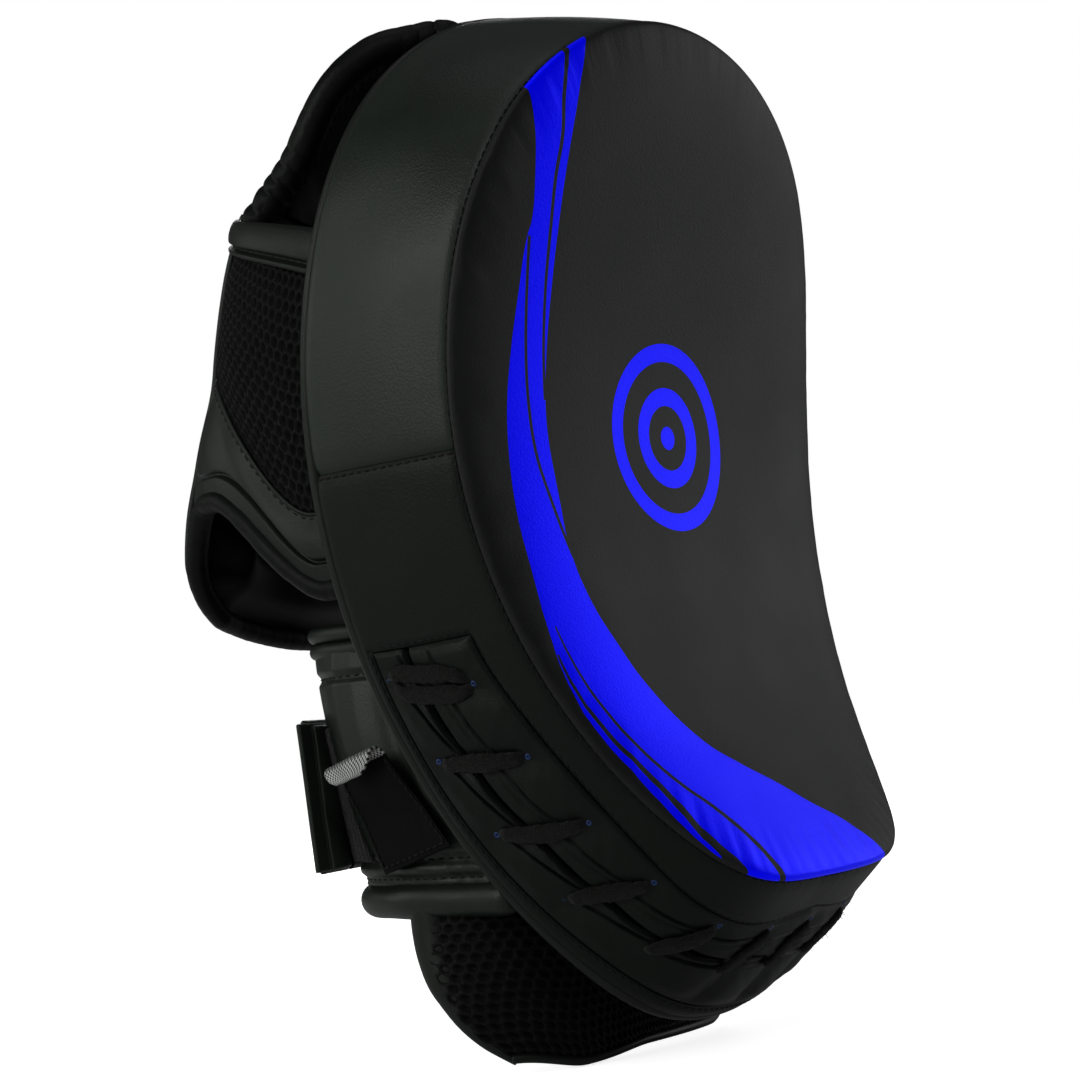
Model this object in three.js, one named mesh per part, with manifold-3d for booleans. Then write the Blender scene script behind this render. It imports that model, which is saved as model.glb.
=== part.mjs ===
// A curved focus mitt: a dished striking pad with a laced side, and a glove, a wrist cuff with a
// hook-and-loop strap, and a wrist guard on its back. Millimetres, +Z up, fingers up.
// The origin is on the flat middle of the strike face, which faces -Y. Left is -X.
import * as THREE from "three";
import { mergeVertices } from "three/addons/utils/BufferGeometryUtils.js";
import Module from "manifold-3d";

const wasm = await Module();
wasm.setup();

// ---- Driving dimensions -------------------------------------------------------------------

const faceCrown = 6.5; // how far the middle of the face stands in front of its edge seam
const padThickness = 54; // from the face's edge seam to the pad's back, all round
const skin = 1.6; // leatherette
const gap = 0.3; // between pieces that touch
const softGap = 1.5; // between curved layers that lie on each other
const foamInset = 12; // from the side wall's outside to the foam blocks
const faceFlat = 0.11; // share of the pad's half-size that is truly flat at the origin

// The lacing window in the side wall, as turns round the outline and depths behind the seam.
const wallSeamTurn = 97.5; // degrees from the top to the seam between the two wall panels
const lacing = { from: 110.5, to: 249.5, front: 14, back: 47.5, recess: 2.6 };
const lace = { radius: 1.6, crossings: 13, frontHole: 20, backHole: 41, inside: 6.2, outside: 0.4 };

// The glove's plan is a rounded box standing on the pad's back, with this corner sharpness.
const corner = 3.5;
const gloveRear = new THREE.SplineCurve([
  new THREE.Vector2(-60, 142),
  new THREE.Vector2(-28, 149.5),
  new THREE.Vector2(8, 140.5),
  new THREE.Vector2(32, 132),
  new THREE.Vector2(58, 127),
  new THREE.Vector2(86, 118.5),
]);
const gloveHalfWidth = 80;
const gloveTaper = { above: 40, perMm: 0.15 }; // the glove narrows above this height
const palmRest = { rear: 68.5, halfWidth: 56, bottom: -50, top: 68 };
const handPadThickness = 12;

const cuff = { halfWidth: 61.5, rear: 107, lean: 0.14, top: -51, bottom: -122, wall: 6 };
const strap = { top: -72.5, bottom: -118.5, inner: 4, outer: 6.5 };
const guard = { centre: 52, front: 20, halfWidth: 62, top: -133.5, bottom: -175, wall: 9 };
const guardCorner = 2.3; // its plan is rounder than the glove's

// ---- Helpers --------------------------------------------------------------------------------

const degree = Math.PI / 180;
const mix = (a, b, share) => a + (b - a) * share;

// 0 before `from`, 1 after `to`, and smooth between them.
function ease(from, to, value) {
  const share = THREE.MathUtils.clamp((value - from) / (to - from), 0, 1);
  return share * share * (3 - 2 * share);
}

// One closed surface facing out: shared corners merged, collapsed triangles dropped.
function closed(geometry) {
  geometry.deleteAttribute("normal");
  geometry.deleteAttribute("uv");
  const merged = mergeVertices(geometry, 1e-3);
  const corners = merged.index.array;
  const kept = [];
  let volume = 0;
  const [a, b, c] = [new THREE.Vector3(), new THREE.Vector3(), new THREE.Vector3()];
  for (let i = 0; i < corners.length; i += 3) {
    const [p, q, r] = corners.slice(i, i + 3);
    if (p === q || q === r || r === p) continue;
    kept.push([p, q, r]);
    a.fromBufferAttribute(merged.attributes.position, p);
    b.fromBufferAttribute(merged.attributes.position, q);
    c.fromBufferAttribute(merged.attributes.position, r);
    volume += a.dot(b.cross(c));
  }
  merged.setIndex(kept.flatMap((t) => (volume > 0 ? t : [t[0], t[2], t[1]])));
  merged.computeVertexNormals();
  return merged;
}

// Moves every corner of a geometry to where `place` says.
function reshaped(geometry, place) {
  const corners = geometry.attributes.position;
  const point = new THREE.Vector3();
  for (let i = 0; i < corners.count; i++) {
    point.fromBufferAttribute(corners, i);
    const to = place(point.x, point.y, point.z);
    corners.setXYZ(i, to.x, to.y, to.z);
  }
  return closed(geometry);
}

// A slab whose u, v and w each run from 0 to 1: along it, across it and through it.
function panel(alongSteps, acrossSteps, place) {
  const box = new THREE.BoxGeometry(1, 1, 1, alongSteps, acrossSteps, 1);
  return reshaped(box, (x, y, z) => place(x + 0.5, y + 0.5, z + 0.5));
}

// A round tube through some points.
function tube(points, radius, steps, sides = 8) {
  const section = new THREE.Shape(
    new THREE.EllipseCurve(0, 0, radius, radius).getPoints(sides).slice(0, sides),
  );
  const path = new THREE.CatmullRomCurve3(points);
  const options = { steps, extrudePath: path, bevelEnabled: false };
  return closed(new THREE.ExtrudeGeometry(section, options));
}

function solidOf(geometry) {
  const triVerts = new Uint32Array(geometry.index.array);
  const vertProperties = new Float32Array(geometry.attributes.position.array);
  return new wasm.Manifold(new wasm.Mesh({ numProp: 3, vertProperties, triVerts }));
}

// The first geometry with the others cut out of it.
function cut(geometry, ...tools) {
  const left = tools.reduce((solid, tool) => solid.subtract(solidOf(tool)), solidOf(geometry));
  const mesh = left.getMesh();
  const made = new THREE.BufferGeometry();
  made.setAttribute("position", new THREE.BufferAttribute(mesh.vertProperties, 3));
  made.setIndex(new THREE.BufferAttribute(mesh.triVerts, 1));
  return closed(made);
}

const mitt = new THREE.Group();

function add(name, geometry, [color, roughness, metalness = 0]) {
  const material = new THREE.MeshStandardMaterial({ color, roughness, metalness });
  const mesh = new THREE.Mesh(geometry, material);
  mesh.name = name;
  mitt.add(mesh);
}

const leather = ["#1b1d1c", 0.45];
const faceLeather = ["#1c1c1d", 0.5];
const airMesh = ["#101110", 0.9];
const lining = ["#0d0f0e", 0.85];
const foam = ["#3a3b3d", 0.95];
const board = ["#6b5f4c", 0.9];
const laceFabric = ["#191818", 0.95];
const tape = ["#151515", 0.95];
const elastic = ["#202020", 0.9];
const labelCloth = ["#0f1110", 0.6];

// ---- The pad's own space --------------------------------------------------------------------

// The pad's outline seen square on: x across and s up the dished face, by turns from the top.
function outline(turn) {
  const t = turn * degree;
  const x = 89.8 * Math.sin(t) - 3 * Math.sin(3 * t) + 2 * Math.sin(5 * t);
  const s =
    146 * Math.cos(t) - 14.8 * Math.cos(2 * t) - 12.6 * Math.cos(3 * t) + 6.4 * Math.cos(4 * t);
  return new THREE.Vector2(x, s);
}

// The same outline moved outwards, or inwards when `out` is negative.
function outlineAt(turn, out) {
  const along = outline(turn + 0.5).sub(outline(turn - 0.5)).normalize();
  return outline(turn).add(new THREE.Vector2(-along.y, along.x).multiplyScalar(out));
}

// How far the dish leans forward at a height s up the face, in radians.
function leanAt(s) {
  const h = s / 100;
  return 0.49 * h - 0.137 * h ** 2 - 0.079 * h ** 3;
}

// Where a point of the pad lies: x across, s up the dished face and depth behind the seam.
function padPoint(x, s, depth) {
  const steps = 24;
  let y = faceCrown;
  let z = 0;
  for (let i = 0; i < steps; i++) {
    const lean = leanAt((s * (i + 0.5)) / steps);
    y -= (Math.sin(lean) * s) / steps;
    z += (Math.cos(lean) * s) / steps;
  }
  const lean = leanAt(s);
  return new THREE.Vector3(x, y + depth * Math.cos(lean), z + depth * Math.sin(lean));
}

// How far behind the origin the pad's back is at a height z.
function padBack(z) {
  let [low, high] = [-160, 140];
  for (let i = 0; i < 30; i++) {
    const s = (low + high) / 2;
    if (padPoint(0, s, padThickness).z < z) low = s;
    else high = s;
  }
  return padPoint(0, low, padThickness).y;
}

// A layer of the pad: a profile of [share of the half-size, depth], turned round the outline.
function padLayer(profile, inset) {
  const segments = 48;
  const points = profile.map(([share, depth]) => new THREE.Vector2(share, depth));
  return reshaped(new THREE.LatheGeometry(points, segments), (x, depth, z) => {
    const share = Math.hypot(x, z);
    const at = outlineAt(Math.atan2(x, z) / degree, -inset).multiplyScalar(share);
    const point = padPoint(at.x, at.y, depth);
    if (share <= faceFlat + 1e-6 && depth === -faceCrown) point.y = 0;
    return point;
  });
}

// A strip of the side wall, between two turns, two depths and two distances out of the outline.
function wallStrip(turns, depths, outs, steps) {
  return panel(steps, 1, (u, v, w) => {
    const at = outlineAt(mix(turns[0], turns[1], u), mix(outs[0], outs[1], w));
    return padPoint(at.x, at.y, mix(depths[0], depths[1], v));
  });
}

// ---- Pad: covers and foam -------------------------------------------------------------------

// The crowned skin of the strike face, and the same curve for the foam just under it.
const crownCurve = [
  [faceFlat, 1],
  [0.45, 0.96],
  [0.75, 0.82],
  [0.92, 0.5],
];

function faceCover() {
  const outer = crownCurve.map(([share, rise]) => [share, -faceCrown * rise]);
  const inner = crownCurve.map(([share, rise]) => [share, skin - faceCrown * rise]);
  return padLayer(
    [[0, -faceCrown], ...outer, [1, 0], [0.975, skin], ...inner.reverse(), [0, skin - faceCrown]],
    0,
  );
}

function strikeFoam(back) {
  const under = skin + softGap;
  const front = crownCurve.map(([share, rise]) => [share, under - faceCrown * rise]);
  const rear = [1, 0.8, 0.6, 0.4, 0.2, 0].map((share) => [share, back]);
  return padLayer([[0, front[0][1]], ...front, [1, under], ...rear], foamInset);
}

// A sheet of even thickness, in rows straight across the pad so that it follows the dish.
function layer(front, back, inset) {
  const [top, foot] = [2, 170]; // turns where the outline runs nearly straight across
  return panel(24, 1, (u, v, w) => {
    const at = outlineAt(mix(top, foot, u), -inset);
    return padPoint(mix(-at.x, at.x, v), at.y, mix(front, back, w));
  });
}

const foamDepths = { strike: 15, impact: 38, backing: 47.5 };
const backCoverFront = padThickness - skin;

add("face_cover", faceCover(), faceLeather);
add("strike_foam", strikeFoam(foamDepths.strike), foam);
add("impact_foam", layer(foamDepths.strike + softGap, foamDepths.impact, foamInset), foam);
add("backing_foam", layer(foamDepths.impact + softGap, foamDepths.backing, foamInset), foam);
add("base_board", layer(foamDepths.backing + softGap, backCoverFront - softGap, foamInset), board);
add("back_cover", layer(backCoverFront, padThickness, 0), leather);

const wallDepths = [skin + gap, backCoverFront - softGap];
const wallOuts = [-skin, 0];
const seamGap = 0.2; // degrees between the wall panels' edges

add(
  "side_wall_upper",
  wallStrip([seamGap - wallSeamTurn, wallSeamTurn - seamGap], wallDepths, wallOuts, 32),
  leather,
);

const lacingWindow = wallStrip(
  [lacing.from, lacing.to],
  [lacing.front, lacing.back],
  [-skin - 1, 1],
  24,
);
add(
  "side_wall_lower",
  cut(wallStrip([wallSeamTurn, 360 - wallSeamTurn], wallDepths, wallOuts, 28), lacingWindow),
  leather,
);

// Thin wadding between the upper wall and the foam blocks.
const waddingOuts = [1.4 - foamInset, -skin - gap];
const waddingDepths = [4, foamDepths.backing];
add(
  "side_wadding_upper",
  wallStrip([-wallSeamTurn, wallSeamTurn], waddingDepths, waddingOuts, 24),
  foam,
);

// ---- Pad: lacing ------------------------------------------------------------------------------

const laceSlot = 30.5; // depth of the middle of the slit between the flaps
const slitHalf = 1.2;
const flapOuts = [-lacing.recess - skin, -lacing.recess];
const tongueOuts = [-lacing.recess - skin - 7, -lacing.recess - skin - 5.8];

function lacePoint(turn, depth, out) {
  const at = outlineAt(turn, out);
  return padPoint(at.x, at.y, depth);
}

// One lace: straight across outside from hole to hole, then slanting inside to the next pair.
function laceRoute() {
  const points = [];
  const [first, last] = [lacing.from + 4.5, lacing.to - 4.5];
  const pitch = (last - first) / (lace.crossings - 1);
  for (let i = 0; i < lace.crossings; i++) {
    const turn = first + i * pitch;
    points.push(
      lacePoint(turn - pitch / 2, laceSlot, -lace.inside),
      lacePoint(turn, lace.frontHole, -lace.inside),
      lacePoint(turn, lace.frontHole + 0.5, -lace.outside),
      lacePoint(turn, lace.backHole - 0.5, -lace.outside),
      lacePoint(turn, lace.backHole, -lace.inside),
    );
  }
  return points.slice(1);
}

const laceSteps = 128;
const laceHoles = tube(laceRoute(), lace.radius + gap, laceSteps, 6);
const flapTurns = [lacing.from + 0.4, lacing.to - 0.4];
const flap = (front, back) => cut(wallStrip(flapTurns, [front, back], flapOuts, 28), laceHoles);

add("lace", tube(laceRoute(), lace.radius, laceSteps, 6), laceFabric);
add("lacing_flap_front", flap(lacing.front + 0.6, laceSlot - slitHalf), leather);
add("lacing_flap_back", flap(laceSlot + slitHalf, lacing.back - 0.6), leather);
add(
  "lacing_tongue",
  wallStrip(flapTurns, [lacing.front + 1, lacing.back - 1], tongueOuts, 24),
  lining,
);

// ---- Palm side of the hand pocket --------------------------------------------------------------

function palmPad() {
  return panel(6, 8, (u, v, w) => {
    const z = mix(palmRest.bottom, palmRest.top, v);
    const y = mix(padBack(z) + gap, palmRest.rear, w);
    return new THREE.Vector3(mix(-palmRest.halfWidth, palmRest.halfWidth, u), y, z);
  });
}

// The barrel in the palm that the fingers close on.
function gripBarrel() {
  const grip = { radius: 13, halfLength: 36, height: 8 };
  const profile = [
    new THREE.Vector2(0, -grip.halfLength),
    new THREE.Vector2(grip.radius * 0.6, -grip.halfLength * 0.94),
    new THREE.Vector2(grip.radius * 0.9, -grip.halfLength * 0.6),
    new THREE.Vector2(grip.radius, 0),
    new THREE.Vector2(grip.radius * 0.9, grip.halfLength * 0.6),
    new THREE.Vector2(grip.radius * 0.6, grip.halfLength * 0.94),
    new THREE.Vector2(0, grip.halfLength),
  ];
  const barrel = new THREE.LatheGeometry(profile, 14);
  barrel.rotateZ(90 * degree);
  barrel.translate(0, palmRest.rear + gap + grip.radius, grip.height);
  return closed(barrel);
}

add("palm_pad", palmPad(), lining);
add("grip_barrel", gripBarrel(), leather);

// ---- Glove: back of the hand --------------------------------------------------------------------

// A point of a rounded-box plan: `angle` from straight back, in degrees, `out` past its outside.
function planPoint(angle, halfWidth, base, rear, out, z) {
  const a = angle * degree;
  const depth = rear - base;
  const wide = (Math.abs(Math.sin(a)) / halfWidth) ** corner;
  const deep = (Math.abs(Math.cos(a)) / depth) ** corner;
  const reach = (wide + deep) ** (-1 / corner) + out;
  return new THREE.Vector3(reach * Math.sin(a), base + reach * Math.cos(a), z);
}

function rearAt(z) {
  const [low, high] = [-60, 86];
  let [from, to] = [0, 1];
  const height = THREE.MathUtils.clamp(z, low, high);
  for (let i = 0; i < 24; i++) {
    const middle = (from + to) / 2;
    if (gloveRear.getPoint(middle).x < height) from = middle;
    else to = middle;
  }
  return gloveRear.getPoint(from).y;
}

function glovePoint(angle, z, out) {
  const halfWidth = gloveHalfWidth - gloveTaper.perMm * Math.max(0, z - gloveTaper.above);
  return planPoint(angle, halfWidth, padBack(z), rearAt(z), out, z);
}

// Heights of the glove's edges by the angle from straight back, the same on both sides.
const openingRim = (angle) =>
  -51 + 46 * ease(31, 50, Math.abs(angle)) - 31 * ease(54, 82, Math.abs(angle));
const meshBottom = (angle) => -15 + 47 * ease(82, 46, Math.abs(angle));
const bindingBottom = (angle) => 57 + 0.48 * (80 - Math.abs(angle));
const bindingTop = (angle) => 68.3 + 0.35 * (81 - Math.abs(angle));

const rimRadius = 3.4;

// The lowest the leather may reach, clear of the rolled rim along the opening.
function aboveRim(angle) {
  const slope = (openingRim(angle + 1) - openingRim(angle - 1)) / 2;
  const perDegree = 1.5; // millimetres along the glove for each degree
  return openingRim(angle) + (rimRadius + 0.8) * Math.hypot(1, slope / perDegree);
}

// A piece of the glove's wall between two angles, two edges and two distances out.
function gloveWall(angles, bottom, top, outs, alongSteps, acrossSteps) {
  return panel(alongSteps, acrossSteps, (u, v, w) => {
    const angle = mix(angles[0], angles[1], u);
    return glovePoint(angle, mix(bottom(angle), top(angle), v), mix(outs[0], outs[1], w));
  });
}

const rearCover = { halfAngle: 38, top: 81 };
const sideAngles = [87, rearCover.halfAngle + 0.4];
const level = (height) => () => height;
const raised = (edge, by) => (angle) => edge(angle) + by;

add(
  "rear_cover",
  gloveWall(
    [-rearCover.halfAngle, rearCover.halfAngle],
    aboveRim,
    level(rearCover.top),
    [-skin, 0],
    14,
    12,
  ),
  leather,
);
const coverInside = -skin - softGap;
const handPadOuts = [coverInside - handPadThickness, coverInside];
const handPadAngles = [3 - rearCover.halfAngle, rearCover.halfAngle - 3];
add(
  "hand_pad_foam",
  gloveWall(handPadAngles, raised(aboveRim, 3), level(rearCover.top - 2), handPadOuts, 8, 8),
  foam,
);
const rearLiningOuts = [handPadOuts[0] - softGap - 1.2, handPadOuts[0] - softGap];
add(
  "rear_lining",
  gloveWall(handPadAngles, raised(aboveRim, 3), level(rearCover.top - 2), rearLiningOuts, 8, 8),
  lining,
);

for (const [side, name] of [
  [-1, "left"],
  [1, "right"],
]) {
  const angles = sideAngles.map((angle) => side * angle);
  add(
    "side_mesh_" + name,
    gloveWall(angles, raised(meshBottom, gap), raised(bindingBottom, -gap), [-3, -0.8], 12, 5),
    airMesh,
  );
  add(
    "top_binding_" + name,
    gloveWall([side * 87, side * 53], bindingBottom, bindingTop, [-3.4, 0.6], 8, 1),
    leather,
  );
  add(
    "lower_band_" + name,
    gloveWall(angles, aboveRim, meshBottom, [-2.4, 0], 12, 3),
    leather,
  );
}

// The rolled rim of the hand opening runs round both sides and the long lobe over the wrist.
function openingRimTube() {
  const points = [];
  for (let angle = -86; angle <= 86; angle += 4) {
    points.push(glovePoint(angle, openingRim(angle), -1.6));
  }
  return tube(points, rimRadius, 44);
}
add("opening_rim", openingRimTube(), leather);

// ---- Glove: finger hood ----------------------------------------------------------------------------

// The hood's middle line and its left edge, from the rear cover up over the fingers to the pad's top.
const hoodMiddle = new THREE.CatmullRomCurve3([
  new THREE.Vector3(0, 121, 82),
  new THREE.Vector3(0, 112, 106),
  new THREE.Vector3(0, 90, 128),
  new THREE.Vector3(0, 62, 136.5),
  new THREE.Vector3(0, 38.5, 136.5),
]);
const hemLeft = new THREE.CatmullRomCurve3([
  new THREE.Vector3(-64, 96, 82),
  new THREE.Vector3(-61, 85, 94),
  new THREE.Vector3(-58, 71, 112),
  new THREE.Vector3(-51, 59, 122.5),
  new THREE.Vector3(-42, 50, 127),
  new THREE.Vector3(-35, 44, 130),
]);
const hem = { radius: 4, elasticRadius: 1.6 };
const hoodInside = new THREE.Vector3(0, 66, 88); // what the hood is hollowed towards
const hoodRoundness = 2.6;

// A point of the hood: u from -1 at the left edge to 1 at the right, v up and over the fingers.
function hoodPoint(u, v, inwards) {
  const middle = hoodMiddle.getPoint(v);
  const edge = hemLeft.getPoint(v);
  const clear = middle.clone().sub(edge).setLength(hem.radius + 1.8);
  edge.add(clear);
  const share = Math.abs(u) ** hoodRoundness;
  const point = new THREE.Vector3(
    -edge.x * u,
    mix(middle.y, edge.y, share),
    mix(middle.z, edge.z, share),
  );
  const towards = hoodInside.clone().setX(point.x * 0.6).sub(point).setLength(inwards);
  return point.add(towards);
}

const hoodPanel = (inwards, v0) =>
  panel(12, 8, (u, v, w) => hoodPoint(2 * u - 1, mix(v0, 1, v), mix(inwards[0], inwards[1], w)));

add("finger_hood", hoodPanel([0, 2], 0.02), leather);
add("hood_lining", hoodPanel([2 + softGap, 4], 0.04), lining);

// An elastic cord inside a gathered sleeve along each edge of the hood.
function hemPoints(side, trim) {
  const points = [];
  for (let i = 0; i <= 8; i++) {
    const point = hemLeft.getPoint(mix(trim, 1 - trim, i / 8));
    points.push(point.setX(-side * point.x));
  }
  return points;
}
for (const [side, name] of [
  [-1, "left"],
  [1, "right"],
]) {
  const sleeve = tube(hemPoints(side, 0.02), hem.radius, 14);
  const bore = tube(hemPoints(side, 0), hem.elasticRadius + 2 * gap, 14);
  add("hood_hem_" + name, cut(sleeve, bore), leather);
  add("hem_elastic_" + name, tube(hemPoints(side, 0.03), hem.elasticRadius, 14, 6), elastic);
}

// ---- Wrist cuff --------------------------------------------------------------------------------------

function cuffPoint(angle, z, out) {
  const rear = cuff.rear + cuff.lean * (z - strap.top);
  return planPoint(angle, cuff.halfWidth, padBack(z), rear, out, z);
}

function cuffWall(angles, heights, outs, alongSteps, acrossSteps) {
  return panel(alongSteps, acrossSteps, (u, v, w) => {
    const z = mix(heights[0], heights[1], v);
    return cuffPoint(mix(angles[0], angles[1], u), z, mix(outs[0], outs[1], w));
  });
}

function cuffTube(angles, z, out, radius) {
  const points = [];
  for (let i = 0; i <= 8; i++) {
    points.push(cuffPoint(mix(angles[0], angles[1], i / 8), z, out));
  }
  return tube(points, radius, 12);
}

// The padding between the pad's falling back and the wrist.
function wristCushion() {
  const size = { halfWidth: 50, top: -56, bottom: -128, rearTop: 66, rearBottom: 50 };
  return panel(6, 8, (u, v, w) => {
    const z = mix(size.bottom, size.top, v);
    const rear = mix(size.rearBottom, size.rearTop, v);
    const x = mix(-size.halfWidth, size.halfWidth, u);
    return new THREE.Vector3(x, mix(padBack(z) + gap, rear, w), z);
  });
}
add("wrist_cushion", wristCushion(), lining);

const cuffHeights = [cuff.bottom, cuff.top];
const wingAngles = { left: [-85, -22], right: [85, 40] };
const piping = { radius: 2.4, z: cuff.top + 3 };
const roll = { radius: 5, z: cuff.bottom - 5.4 };
for (const name of ["left", "right"]) {
  const angles = wingAngles[name];
  const middle = -cuff.wall / 2;
  add("cuff_wing_" + name, cuffWall(angles, cuffHeights, [-cuff.wall, 0], 12, 3), leather);
  add("cuff_piping_" + name, cuffTube(angles, piping.z, middle, piping.radius), leather);
  add("cuff_roll_" + name, cuffTube(angles, roll.z, middle, roll.radius), leather);
}

// ---- Wrist strap -----------------------------------------------------------------------------------

const strapHeights = [strap.bottom, strap.top];
const tapeMargin = 3; // leather showing above and below the hook and loop tapes
const tapeHeights = [strap.bottom + tapeMargin, strap.top - tapeMargin];
const strapFoldAngle = 47; // where the strap leaves its sewn root and can swing
const strapEndAngle = -30; // where the straight tab begins
const tabLength = 27;

const strapWall = (angles, outs, heights, steps) => cuffWall(angles, heights, outs, steps, 2);

add("strap_root", strapWall([82, strapFoldAngle + 0.5], [gap, strap.outer], strapHeights, 8), leather);
add("loop_tape", strapWall([-52, -24], [gap, 1.6], tapeHeights, 8), tape);
add(
  "strap_body",
  strapWall([strapFoldAngle - 0.5, strapEndAngle], [strap.inner, strap.outer], strapHeights, 14),
  leather,
);
add(
  "hook_tape",
  strapWall([-8, strapEndAngle], [1.6 + gap, strap.inner - softGap], tapeHeights, 6),
  tape,
);

// The tab runs on straight past the corner of the cuff: `out` is measured square to it.
function tabPoint(along, z, out) {
  const start = cuffPoint(strapEndAngle - 0.6, z, strap.inner);
  const direction = new THREE.Vector3(-0.955, -0.297, 0);
  const outward = new THREE.Vector3(-0.297, 0.955, 0);
  return start.addScaledVector(direction, along).addScaledVector(outward, out);
}
const tabPanel = (from, to, outs, heights) =>
  panel(6, 2, (u, v, w) =>
    tabPoint(mix(from, to, u), mix(heights[0], heights[1], v), mix(outs[0], outs[1], w)),
  );
add("strap_tab", tabPanel(1.2, tabLength, [0, strap.outer - strap.inner], strapHeights), leather);
add("tab_hook_tape", tabPanel(4, tabLength, [-1.7, -gap], strapHeights), tape);

// The cloth label sewn to the left wing along its foot, with its top end curling out.
function labelPoint(u, v, w) {
  const size = { bottom: -115, top: -85, thickness: 1.4, curl: 9 };
  const z = mix(size.bottom, size.top, v);
  const out = 0.5 + size.curl * ease(0.45, 1.2, v) + w * size.thickness;
  return cuffPoint(mix(-80, -58, u), z, out);
}
add("cloth_label", panel(4, 6, labelPoint), labelCloth);

// ---- Wrist guard ---------------------------------------------------------------------------------------

// A trough round the front of the wrist: `angle` from straight forward, in degrees.
function guardPoint(angle, z, inwards) {
  const a = angle * degree;
  const forward = guard.centre - guard.front;
  const back = Math.abs(angle) > 90;
  const wide = (Math.abs(Math.sin(a)) / guard.halfWidth) ** guardCorner;
  const deep = back ? 0 : (Math.abs(Math.cos(a)) / forward) ** guardCorner;
  const reach = (wide + deep) ** (-1 / guardCorner);
  const x = reach * Math.sin(a);
  const y = guard.centre - reach * Math.cos(a);
  const inward = new THREE.Vector3(-x, guard.centre - Math.min(y, guard.centre), 0).setLength(inwards);
  return new THREE.Vector3(x, y, z).add(inward);
}

// The angle of the trough's free edge, which curves forward towards its foot.
function guardEdge(z) {
  const fall = (guard.top - z) / (guard.top - guard.bottom);
  const y = 60.5 - 23.5 * fall ** 2;
  return 90 + Math.atan2(y - guard.centre, guard.halfWidth) / degree;
}
const edgeClear = 7; // degrees between the trough's wall and the middle of its trim

function guardWall(inwards, edgeInset) {
  return panel(24, 6, (u, v, w) => {
    const z = mix(guard.top, guard.bottom, v);
    const edge = guardEdge(z) - edgeInset;
    return guardPoint(mix(-edge, edge, u), z, mix(inwards[0], inwards[1], w));
  });
}
const guardDepths = { mesh: [0, 1.9], foam: [3.5, 6.3], lining: [7.9, guard.wall] };
add("guard_mesh", guardWall(guardDepths.mesh, edgeClear), airMesh);
add("guard_foam", guardWall(guardDepths.foam, edgeClear), foam);
add("guard_lining", guardWall(guardDepths.lining, edgeClear), lining);

function guardTrim(side) {
  const points = [];
  for (let i = 0; i <= 8; i++) {
    const z = mix(guard.top, guard.bottom, i / 8);
    points.push(guardPoint(side * guardEdge(z), z, guard.wall / 2));
  }
  return tube(points, 4, 12);
}
add("guard_trim_left", guardTrim(-1), leather);
add("guard_trim_right", guardTrim(1), leather);

export default mitt;
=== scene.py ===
"""The looks of a curved focus mitt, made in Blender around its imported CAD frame.

Shapes are worked out in millimetres in the frame's own axes and turned into metres when a mesh
is made: -Y is the way the strike face looks, +Z is up the fingers, -X is the left side.
"""
import math

import bpy
import numpy as np
from mathutils import Matrix, Vector


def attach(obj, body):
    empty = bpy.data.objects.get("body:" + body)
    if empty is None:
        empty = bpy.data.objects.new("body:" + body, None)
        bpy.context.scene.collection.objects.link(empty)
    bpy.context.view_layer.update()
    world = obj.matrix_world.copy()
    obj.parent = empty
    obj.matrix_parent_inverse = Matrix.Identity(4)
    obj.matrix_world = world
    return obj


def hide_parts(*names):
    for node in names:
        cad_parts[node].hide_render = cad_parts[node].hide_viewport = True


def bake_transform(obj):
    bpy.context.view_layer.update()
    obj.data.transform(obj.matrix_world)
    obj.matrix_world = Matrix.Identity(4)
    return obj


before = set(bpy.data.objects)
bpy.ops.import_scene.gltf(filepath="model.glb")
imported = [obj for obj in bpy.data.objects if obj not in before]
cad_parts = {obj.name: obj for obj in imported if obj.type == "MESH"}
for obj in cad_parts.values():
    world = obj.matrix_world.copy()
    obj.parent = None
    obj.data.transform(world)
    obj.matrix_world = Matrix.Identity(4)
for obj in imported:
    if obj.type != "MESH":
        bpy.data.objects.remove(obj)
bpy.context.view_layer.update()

MM = 0.001
BODY = "mitt"

# ---- Driving dimensions, as in the CAD model ----------------------------------------------------

FACE_CROWN = 6.5
PAD_THICKNESS = 54.0
WALL_SEAM_TURN = 97.5
CORNER = 3.5
GLOVE_HALF_WIDTH = 80.0
CUFF_HALF_WIDTH = 61.5
CUFF_REAR = 107.0
CUFF_LEAN = 0.14
CUFF_TOP = -51.0
CUFF_BOTTOM = -122.0
STRAP_TOP = -72.5
STRAP_BOTTOM = -118.5
STRAP_INNER = 4.0
STRAP_OUTER = 6.5
STRAP_FOLD_ANGLE = 47.0
STRAP_END_ANGLE = -30.0
TAB_LENGTH = 27.0
GUARD_CENTRE = 52.0
GUARD_FRONT = 20.0
GUARD_HALF_WIDTH = 62.0
GUARD_TOP = -133.5
GUARD_BOTTOM = -175.0
GUARD_WALL = 9.0
GUARD_CORNER = 2.3
RIM_RADIUS = 3.4
PALM = {"half_width": 56.0, "bottom": -50.0, "top": 68.0, "rear": 68.5}
WRIST = {"half_width": 50.0, "bottom": -128.0, "top": -56.0, "rear": (50.0, 66.0)}
GRIP = {"half_length": 36.0, "radius": 13.0, "height": 8.0}

SIDES = (("left", -1), ("right", 1))

# ---- Numbers and vectors ------------------------------------------------------------------------


def mix(a, b, share):
    return a + (b - a) * share


def ease(start, end, value):
    """0 before start, 1 after end, and smooth between them."""
    share = np.clip((np.asarray(value, float) - start) / (end - start), 0, 1)
    return share * share * (3 - 2 * share)


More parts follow.
